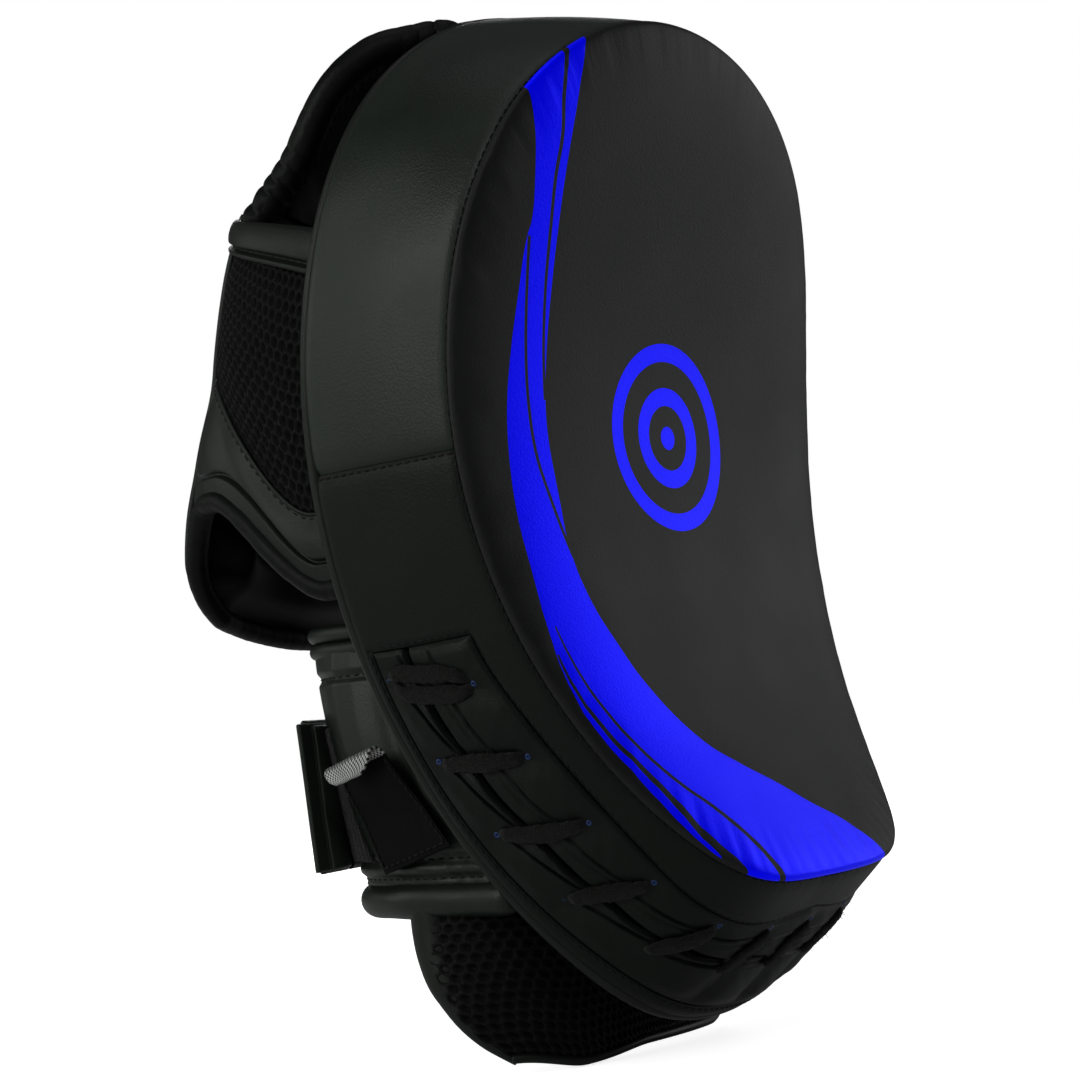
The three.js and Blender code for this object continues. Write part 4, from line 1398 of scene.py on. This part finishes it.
def make_cuff_rolls(side, angles):
    """The two piping rolls along a wing's top and the padded roll at its foot."""
    start = angles[0] - (3 if side == "left" else 0)
    end = angles[1] + (3 if side == "right" else 0)
    at = np.linspace(start, end, 260)
    arc = arc_length(cuff_point(at, PIPING_Z, -3.0))
    rolls = []
    for z, out, radius in ((PIPING_Z + 0.4, -1.2, 2.5), (PIPING_Z - 4.6, -0.6, 2.3)):
        points = cuff_point(at, z + 0.3 * ripple(arc / 12, z), out)
        wave = radius + 0.1 * ripple(arc / 7, z)
        wave = wave * (0.55 + 0.45 * rounded(np.minimum(arc, arc[-1] - arc), 2.0))
        rolls.append(pipe(points, wave, 18))
    piping = joined("cuff_piping_rolls_" + side, rolls, LOOK["cuff"])
    finished(piping, "wall_leather", "cuff_piping_" + side)
    points = cuff_point(at, ROLL_Z, -2.6)
    wave = 5.2 + 0.3 * ripple(arc / 9, 4.0)
    wave = wave * (0.5 + 0.5 * rounded(np.minimum(arc, arc[-1] - arc), 4.0))
    piece = tube("cuff_roll_skin_" + side, points, wave, LOOK["cuff"], 26)
    finished(piece, "wall_leather", "cuff_roll_" + side)


def edge_seams(place, inset_u, inset_v):
    """Stitch lines inset from a surface's four edges."""
    u = np.linspace(inset_u, 1 - inset_u, 160)
    v = np.linspace(inset_v, 1 - inset_v, 80)
    lines = [(u, inset_v), (u, 1 - inset_v), (inset_u, v), (1 - inset_u, v)]
    return [seam_on(place, a, b, 0.05, True) for a, b in lines]


def make_strap():
    """The strap's sewn root, its body round the back of the wrist, its tapes and its free tab."""
    heights = (STRAP_BOTTOM, STRAP_TOP)
    tape_heights = (STRAP_BOTTOM + 3, STRAP_TOP - 3)

    def outside(u, v):
        return STRAP_OUTER + 0.18 * ripple(u * 16 + v * 3, 2.0)

    root = cuff_surface((STRAP_FOLD_ANGLE + 0.5, 82), heights, outside)
    piece = shell("strap_root_skin", root, (90, 40), 2.4, 1.1, LOOK["glove"], flip=True)
    finished(piece, "wall_leather", "strap_root")
    under = cuff_surface((STRAP_FOLD_ANGLE + 1, 81), (STRAP_BOTTOM + 1, STRAP_TOP - 1), 3.7)
    packing = shell("strap_root_packing", under, (40, 20), 3.2, 1.2, LOOK["tape"], flip=True)
    finished(packing, "hook_loop_tape")
    body = cuff_surface((STRAP_END_ANGLE, STRAP_FOLD_ANGLE - 0.5), heights, outside)
    piece = shell("strap_skin", body, (150, 40), 2.4, 1.1, LOOK["glove"], flip=True)
    finished(piece, "wall_leather", "strap_body", body="strap")

    def pile(u, v):
        return 1.9 + 0.15 * ripple(u * 90 + v * 30, 1.0)

    loops = cuff_surface((-52, -24), tape_heights, pile)
    piece = shell("loop_pile", loops, (140, 60), 1.5, 0.6, LOOK["loops"], flip=True)
    finished(piece, "hook_loop_tape", "loop_tape")
    hooks = cuff_surface((STRAP_END_ANGLE, -8), tape_heights, 3.75)
    piece = shell("hook_pad", hooks, (60, 30), 1.6, 0.4, LOOK["tape"], flip=True)
    finished(piece, "hook_loop_tape", "hook_tape", body="strap")
    make_tab()
    sew("strap_root_stitches", edge_seams(root, 0.06, 0.07))
    sew("strap_stitches", edge_seams(body, 0.03, 0.07), body="strap")
    sew("tab_stitches", edge_seams(tab_leather, 0.12, 0.07) + edge_seams(tab_tape, 0.06, 0.06), body="tab")


def make_tab():
    """The strap's free end, which sticks out past the cuff."""
    piece = shell("tab_skin", tab_leather, (60, 40), 2.5, 1.1, LOOK["glove"], flip=True)
    finished(piece, "wall_leather", "strap_tab", body="tab")
    # Its inner leather and its tape take the lightened colours: painted light over the pad's shade.
    piece = shell("tab_inner_leather", tab_cover, (40, 60), 1.9, 0.9, LOOK["tab"])
    finished(piece, "wall_leather", body="tab")
    piece = shell("tab_tape", tab_tape, (70, 50), 1.5, 0.5, LOOK["webbing"], flip=True)
    finished(piece, "hook_loop_tape", "tab_hook_tape", body="tab")


def tab_point(distance, z, out):
    """The tab runs on straight past the corner of the cuff."""
    start = cuff_point(STRAP_END_ANGLE - 0.6, z, STRAP_INNER)
    direction = np.array([-0.955, -0.297, 0.0])
    outward = np.array([-0.297, 0.955, 0.0])
    return start + np.asarray(distance)[..., None] * direction + np.asarray(out)[..., None] * outward


def tab_leather(u, v):
    z = mix(STRAP_BOTTOM, STRAP_TOP, v)
    return tab_point(mix(TAB_LENGTH - 7, 1.0, u), z, 2.6 + 0.15 * ripple(u * 6 + v * 4, 1.0))


def tab_tape(u, v):
    return tab_point(mix(TAB_LENGTH + 1.5, 4.0, u), mix(STRAP_BOTTOM + 1, STRAP_TOP - 1, v), -0.1)


def tab_cover(u, v):
    """Padded leather over most of the tab's tape, bulging to the inside."""
    swell = 0.9 * hump(u, 0.5)
    z = mix(STRAP_BOTTOM + 1.5, STRAP_TOP - 1.5, v)
    far = TAB_LENGTH - 5.0 + 0.7 * hump(v)
    return tab_point(mix(far, 8.0, u), z, -3.1 - swell - 0.15 * ripple(v * 9, 2.0))


def make_folds():
    """Cloth that carries on across the strap's two folds."""
    middle = (STRAP_TOP + STRAP_BOTTOM) / 2
    heights = (STRAP_BOTTOM + 1.2, STRAP_TOP - 1.2)
    across_root = cuff_surface((STRAP_FOLD_ANGLE - 3, STRAP_FOLD_ANGLE + 3), heights, STRAP_OUTER - 0.7)
    root = shell("strap_root_fold", across_root, (40, 30), 1.1, 0.5, LOOK["tape"], flip=True)
    start = cuff_point(STRAP_FOLD_ANGLE + 1.5, middle, 5.0) * MM
    cuff_point(STRAP_FOLD_ANGLE - 1.5, middle, 5.0) * MM
    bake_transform(root)

    def across_tab(u, v):
        z = mix(*heights, v)
        return mix(cuff_point(STRAP_END_ANGLE + 3.0, z, 5.4), tab_point(4.0 + 0 * u, z, 1.6), u[..., None])

    tab = shell("tab_fold", across_tab, (40, 30), 1.1, 0.5, LOOK["tape"], flip=False)
    start = cuff_point(STRAP_END_ANGLE + 1.0, middle, 5.0) * MM
    tab_point(2.0, middle, 1.0) * MM
    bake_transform(tab)


LABEL_SILVER = 0.72  # share of the label's height where its silver end starts
LABEL = {"angle": -71.0, "foot": -115.5, "silver": -87.5, "wide_foot": 25.0, "wide_top": 18.0}
LABEL_CURL = {"radius": 2.2, "turn": 165.0, "flap": 4.5}


def label_place(u, v):
    """The label hangs a little askew, and its top end folds out and over. Widths are in degrees."""
    rise = np.clip(v / LABEL_SILVER, 0, 1)
    beyond = np.clip((v - LABEL_SILVER) / (1 - LABEL_SILVER), 0, 1.1)
    radius, turn_over, flap = LABEL_CURL["radius"], math.radians(LABEL_CURL["turn"]), LABEL_CURL["flap"]
    bend = radius * turn_over
    travelled = beyond * (bend + flap)
    curl = np.clip(travelled / radius, 0, turn_over)
    past = np.clip(travelled - bend, 0, None)
    narrow = np.sqrt(1 - 0.8 * np.clip(beyond, 0, 1) ** 3)
    across = (u - 0.5) * mix(LABEL["wide_foot"], LABEL["wide_top"], rise) * narrow
    angle = LABEL["angle"] + mix(1.0, 3.6, rise) + across
    z = mix(LABEL["foot"], LABEL["silver"], rise) - 0.3 * across
    z = z + radius * np.sin(curl) + past * math.cos(turn_over)
    out = 4.6 + 2.0 * ease(0.4, 1.0, rise) + radius * (1 - np.cos(curl)) + past * math.sin(turn_over)
    return cuff_point(angle, z, out + 0.4 * ripple(u * 3 + v * 2, 1.0))


def make_label():
    """The black part of the woven label, its silver end and the stitches at its sewn foot."""
    def lower(u, v):
        return label_place(u, v * (LABEL_SILVER + 0.02))

    def upper(u, v):
        return label_place(u, mix(LABEL_SILVER, 1.0, v))

    cloth_part = shell("label_cloth", lower, (50, 60), 1.0, 0.5, LOOK["label"], flip=True)
    finished(cloth_part, "woven_label", "cloth_label", body="label")
    silver_part = shell("label_silver_end", upper, (60, 50), 0.9, 0.45, LOOK["silver"], flip=True)
    finished(silver_part, "woven_label", body="label")
    seams = [seam_on(label_place, np.linspace(0.03, 0.97, 60), 0.04, 0.1, flip=True)]
    for u in (0.04, 0.96):
        seams.append(seam_on(label_place, u, np.linspace(0.04, LABEL_SILVER, 60), 0.1, flip=True))
    sew("label_stitches", seams, 2.6, body="label")


# ---- Wrist guard --------------------------------------------------------------------------------


def guard_point(angle, z, inwards):
    """angle from straight forward, round the front of the wrist."""
    a = np.radians(angle)
    forward = GUARD_CENTRE - GUARD_FRONT
    wide = (np.abs(np.sin(a)) / GUARD_HALF_WIDTH) ** GUARD_CORNER
    deep = np.where(np.abs(a) > math.pi / 2, 0, (np.abs(np.cos(a)) / forward) ** GUARD_CORNER)
    reach = (wide + deep) ** (-1 / GUARD_CORNER)
    x = reach * np.sin(a)
    y = GUARD_CENTRE - reach * np.cos(a)
    inward = unit(stack(-x, GUARD_CENTRE - np.minimum(y, GUARD_CENTRE), 0 * x))
    return stack(x, y, z) + inward * np.asarray(inwards)[..., None]


def guard_edge(z):
    """The angle of the guard's free edge, which curves forward and rounds off at its foot."""
    z = np.asarray(z, float)
    fall = np.clip((GUARD_TOP - z) / (GUARD_TOP - GUARD_BOTTOM), 0, 1)
    y = 60.5 - 23.5 * fall**2
    corner = 1 - np.sqrt(1 - np.clip((-162 - z) / 14.5, 0, 0.985) ** 2)
    return 90 + np.degrees(np.arctan2(y - GUARD_CENTRE, GUARD_HALF_WIDTH)) - 8 * corner


def guard_foot(angle):
    """The height of the guard's lower edge, which sags a little on the left and rounds up at its ends."""
    corner = 3.4 * ease(50, 72, np.abs(angle))
    return GUARD_BOTTOM + 0.5 + corner - 2.2 * ease(-12, -56, angle)


def guard_end(sign):
    """The height and the angle at which the guard's lower edge meets its free edge."""
    height = float(guard_foot(sign * 70.0))
    return height, float(guard_edge(height)) - 2.5


def make_guard():
    """The air mesh outside the wrist guard and the padded cloth inside it."""

    def surface(u, v, out):
        edge = guard_edge(mix(GUARD_TOP + 4, guard_end(-1)[0], v)) - 3.0
        angle = mix(-edge, edge, u)
        z = mix(GUARD_TOP + 4, guard_foot(angle), v)
        swell = 1.0 * hump(v)
        return guard_point(angle, z, 0.6 - swell - out + 0.3 * ripple(u * 15 + v * 4, 2.0))

    air_mesh("guard_air_mesh", surface, 0.46, True, ["guard_mesh"])

    def inner(u, v):
        edge = guard_edge(mix(guard_end(-1)[0], GUARD_TOP, v)) - 3.0
        angle = mix(-edge, edge, u)
        z = mix(guard_foot(angle), GUARD_TOP, v)
        swell = 1.2 * hump(v, 0.6)
        return guard_point(angle, z, GUARD_WALL - 1.2 + swell + 0.4 * ripple(u * 17 + v * 5, 4.0))

    lining = shell("guard_lining_cloth", inner, (160, 50), 1.6, 0.7, LOOK["satin"], flip=False)
    finished(lining, "lining_cloth", "guard_lining")
    make_guard_edges()


def make_guard_edges():
    """The leather trim up each side of the guard and the binding round its foot."""
    for side, sign in SIDES:
        z = np.linspace(GUARD_TOP + 5, guard_end(sign)[0], 260)
        points = guard_point(sign * (guard_edge(z) - 2.5), z, np.full(260, GUARD_WALL / 2))
        arc = arc_length(points)
        radius = mix(4.9, 1.7, ease(-146, -174, z)) + 0.12 * ripple(arc / 6, 1.0 + sign)
        ups = guard_point(sign * (guard_edge(z) - 2.5), z, np.full(260, 0.0)) - points
        piece = tube("guard_trim_skin_" + side, points, radius, LOOK["glove"], 28, 1.35, ups)
        finished(piece, "wall_leather", "guard_trim_" + side)
    angles = np.linspace(-guard_end(-1)[1] - 0.6, guard_end(1)[1] + 0.6, 400)
    pipes = []
    for inwards in (1.2, 3.2, 5.2, 7.2):
        points = guard_point(angles, guard_foot(angles), np.full(400, inwards))
        pipes.append(pipe(points, 1.35, 12))
    finished(joined("guard_foot_binding", pipes, LOOK["glove"]), "wall_leather")


# ---- Soft pieces inside the hand's space --------------------------------------------------------

CUSHION_MESH = 4.5
FILLING_FRAMES = 20


def applied(piece):
    """The piece's mesh becomes what its modifiers made of it."""
    graph = bpy.context.evaluated_depsgraph_get()
    mesh = bpy.data.meshes.new_from_object(piece.evaluated_get(graph))
    piece.modifiers.clear()
    piece.data = mesh
    return piece


def points_of(mesh):
    co = np.empty(len(mesh.vertices) * 3)
    mesh.vertices.foreach_get("co", co)
    return co.reshape(-1, 3)


def stuff(piece, most):
    """Fills a closed cover as padding would: an even mesh and a short cloth run, whose bulges
    stand out by no more than most."""
    remesh = piece.modifiers.new("even", "REMESH")
    remesh.mode = "VOXEL"
    remesh.voxel_size = CUSHION_MESH * MM
    applied(piece)
    before = points_of(piece.data)
    cover = piece.modifiers.new("filling", "CLOTH")
    cover.settings.quality = 5
    cover.settings.mass = 0.3
    cover.settings.use_pressure = True
    cover.settings.uniform_pressure_force = 4.0
    cover.settings.effector_weights.gravity = 0
    cover.point_cache.frame_start = 1
    cover.point_cache.frame_end = FILLING_FRAMES
    for step in range(1, FILLING_FRAMES + 1):
        bpy.context.scene.frame_set(step)
    applied(piece)
    bpy.context.scene.frame_set(1)
    moved = points_of(piece.data) - before
    size = np.linalg.norm(moved, axis=1, keepdims=True)
    moved = moved * np.minimum(1, most * MM / np.maximum(size, 1e-9))
    piece.data.vertices.foreach_set("co", (before + moved).ravel())
    smooth = piece.modifiers.new("smooth", "SUBSURF")
    smooth.levels = 1
    smooth.render_levels = 1
    applied(piece)
    piece.data.polygons.foreach_set("use_smooth", [True] * len(piece.data.polygons))
    piece.data.update()
    return piece


def cushion(name, centre_face, back_face, steps, crown, material):
    """A crowned cushion: back_face(u, v) is what it rests on and centre_face(u, v) its front."""
    u, v = np.meshgrid(np.linspace(0, 1, steps), np.linspace(0, 1, steps), indexing="ij")
    edge = rounded(np.minimum(np.minimum(u, 1 - u), np.minimum(v, 1 - v)), 0.16)
    dome = hump(u, 0.5) * hump(v, 0.5)
    back, front = back_face(u, v), centre_face(u, v)
    middle = mix(back, front, 0.5)
    out = unit(front - back)
    half = np.linalg.norm(front - back, axis=-1) / 2 * (0.35 + 0.65 * edge) * (edge > 0)
    top = middle + out * (half + crown * dome)[..., None]
    bottom = middle - out * half[..., None]
    quads = grid_faces(steps, steps)
    number = np.arange(steps * steps).reshape(steps, steps)
    behind = number + steps * steps
    for line in (np.s_[0, :], np.s_[-1, :], np.s_[:, 0], np.s_[:, -1]):
        behind[line] = number[line]
    faces = np.vstack([quads, behind.ravel()[quads][:, ::-1]])
    verts = np.vstack([top.reshape(-1, 3), bottom.reshape(-1, 3)])
    used, compact = np.unique(faces, return_inverse=True)
    return make_object(name, verts[used], compact.reshape(-1, 4), material)


def make_palm():
    """The cushions on the pad's back, in the palm and at the wrist."""

    def on_pad(half_width, bottom, top):
        def resting(u, v):
            z = mix(bottom, top, v)
            return stack(mix(-half_width, half_width, u), pad_back(z) + 0.6, z)

        return resting

    def palm_front(u, v):
        x = mix(-PALM["half_width"], PALM["half_width"], u)
        return stack(x, PALM["rear"] - 1.0, mix(PALM["bottom"], PALM["top"], v))

    def wrist_front(u, v):
        x = mix(-WRIST["half_width"], WRIST["half_width"], u)
        return stack(x, mix(*WRIST["rear"], v), mix(WRIST["bottom"], WRIST["top"], v))

    resting = on_pad(PALM["half_width"], PALM["bottom"], PALM["top"])
    palm = cushion("palm_cushion", palm_front, resting, 40, 1.2, LOOK["satin"])
    finished(stuff(palm, 1.2), "lining_cloth", "palm_pad")
    resting = on_pad(WRIST["half_width"], WRIST["bottom"], WRIST["top"])
    wrist = cushion("wrist_pad", wrist_front, resting, 36, 1.2, LOOK["satin"])
    finished(stuff(wrist, 1.5), "lining_cloth", "wrist_cushion")


def make_grip():
    """The stuffed barrel in the palm, drawn in at both ends."""
    half, radius, sides = GRIP["half_length"], GRIP["radius"], 48
    x = np.linspace(-half, half, 200)
    share = np.abs(x) / half
    reach = radius * np.sqrt(np.clip(1 - share**3.2, 0.0004, 1))
    turn = round_turns(sides)
    pleats = 0.5 * ease(0.7, 0.97, share)[:, None] * np.sin(turn * 14)
    path = stack(x, PALM["rear"] + 0.3 + radius, GRIP["height"])
    uneven = reach[:, None] + pleats * reach[:, None] / radius + 0.15 * ripple(x / 4, 1.0)[:, None]
    rings = tube_points(path, uneven, sides)
    piece = make_object("grip_roll", rings.reshape(-1, 3), tube_faces(len(x), sides), LOOK["glove"])
    finished(piece, "wall_leather", "grip_barrel")


# ---- What stays as CAD, out of sight ------------------------------------------------------------

CAD_LOOKS = {
    "foam": ["strike_foam", "impact_foam", "backing_foam", "side_wadding_upper", "guard_foam"],
    "board": ["base_board"],
    "wall": ["lacing_tongue"],
}


def dress_hidden_nodes():
    for look, names in CAD_LOOKS.items():
        for name in names:
            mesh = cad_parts[name].data
            mesh.materials.clear()
            mesh.materials.append(LOOK[look])


# ---- Stage --------------------------------------------------------------------------------------


def make_stage():
    size = 9000.0
    z = GUARD_BOTTOM - 3.2
    corners = [(-size, -size, z), (size, -size, z), (size, size, z), (-size, size, z)]
    floor = make_object("floor", corners, [(0, 1, 2, 3)], floor_paper())


def floor_paper():
    made = Nodes("floor_paper", (0.9, 0.9, 0.9), 0.95)
    made.set(Specular_IOR_Level=0.1, Emission_Color=(1, 1, 1, 1))
    camera_ray = made.add("ShaderNodeLightPath").outputs["Is Camera Ray"]
    away = made.add("ShaderNodeVectorMath", operation="LENGTH")
    made.link(made.place(), away.inputs[0])
    glow = made.remap(away.outputs["Value"], 0.25, 1.3, 0.84, 1.1)
    made.give("Emission Strength", made.math("MULTIPLY", camera_ray, glow))
    made.relief(made.noise(40.0, 4.0), 0.05, 0.0004)
    return made.material


def area_light(name, place, target, size, power, tint=(1, 1, 1)):
    data = bpy.data.lights.new(name, "AREA")
    data.shape = "RECTANGLE"
    data.size, data.size_y = size
    data.energy = power
    data.color = tint
    light = bpy.data.objects.new(name, data)
    bpy.context.scene.collection.objects.link(light)
    light.location = place
    light.rotation_euler = (Vector(target) - Vector(place)).to_track_quat("-Z", "Y").to_euler()


def make_lights():
    area_light("side", (-1.6, 0.6, 0.6), (0, 0.05, 0.0), (0.7, 0.9), 9, (0.95, 1.0, 0.94))
    area_light("rear", (-0.7, 1.7, 0.5), (0, 0.05, 0.0), (0.7, 0.9), 3, (0.95, 1.0, 0.94))
    area_light("front", (1.8, -0.9, 0.5), (0, 0, 0), (1.0, 1.2), 5.5)
    area_light("top", (-0.1, 0.0, 1.7), (0, 0, 0), (0.8, 0.8), 2)
    area_light("far_side", (1.5, 1.3, 0.6), (0, 0.05, 0), (0.9, 0.9), 9)
    area_light("over_camera", (-1.2, -0.9, 1.2), (0, 0, 0), (0.8, 0.8), 4.5)


def make_world():
    """A dim fill light that the camera sees as plain white."""
    world = bpy.data.worlds.new("studio")
    world.use_nodes = True
    tree = world.node_tree
    lit = tree.nodes["Background"]
    lit.inputs["Color"].default_value = (0.95, 1.0, 0.97, 1)
    lit.inputs["Strength"].default_value = 0.07
    seen = tree.nodes.new("ShaderNodeBackground")
    seen.inputs["Color"].default_value = (1, 1, 1, 1)
    rays = tree.nodes.new("ShaderNodeLightPath")
    choice = tree.nodes.new("ShaderNodeMixShader")
    tree.links.new(rays.outputs["Is Camera Ray"], choice.inputs[0])
    tree.links.new(lit.outputs[0], choice.inputs[1])
    tree.links.new(seen.outputs[0], choice.inputs[2])
    tree.links.new(choice.outputs[0], tree.nodes["World Output"].inputs[0])
    bpy.context.scene.world = world


CAMERA = {"azimuth": -54.2, "elevation": -4.3, "roll": -5.0, "place": (-634.3, -408.3, -82.1), "lens": 85}


def make_camera():
    """Looks from the mitt's left and a little below its middle, rolled slightly."""
    azimuth, elevation, roll = (math.radians(CAMERA[key]) for key in ("azimuth", "elevation", "roll"))
    level = np.array([math.cos(azimuth), math.sin(azimuth), 0.0])
    towards = np.array([math.sin(azimuth), -math.cos(azimuth), 0.0])
    back = towards * math.cos(elevation) + np.array([0.0, 0.0, math.sin(elevation)])
    up = np.cross(level, -back)
    right = level * math.cos(roll) + up * math.sin(roll)
    upright = up * math.cos(roll) - level * math.sin(roll)
    data = bpy.data.cameras.new("camera")
    data.lens = CAMERA["lens"]
    data.sensor_width = 36
    data.clip_end = 60
    camera = bpy.data.objects.new("camera", data)
    bpy.context.scene.collection.objects.link(camera)
    place = np.array(CAMERA["place"]) * MM
    rows = [(*row, at) for row, at in zip(np.stack([right, upright, back], 1), place)]
    camera.matrix_world = Matrix(rows + [(0, 0, 0, 1)])
    bpy.context.scene.camera = camera


make_face()
make_upper_wall()
make_lower_wall()
make_flaps()
make_lace()
make_back()
make_pad_seams()
make_side_windows()
make_top_bindings()
make_lower_bands()
make_opening_rim()
make_rear_cover()
make_rear_lining()
make_hood()
make_hood_hems()
make_cuff()
make_strap()
make_folds()
make_label()
make_guard()
make_palm()
make_grip()
dress_hidden_nodes()
make_stage()
make_lights()
make_world()
make_camera()
bpy.context.scene.view_settings.view_transform = "Standard"
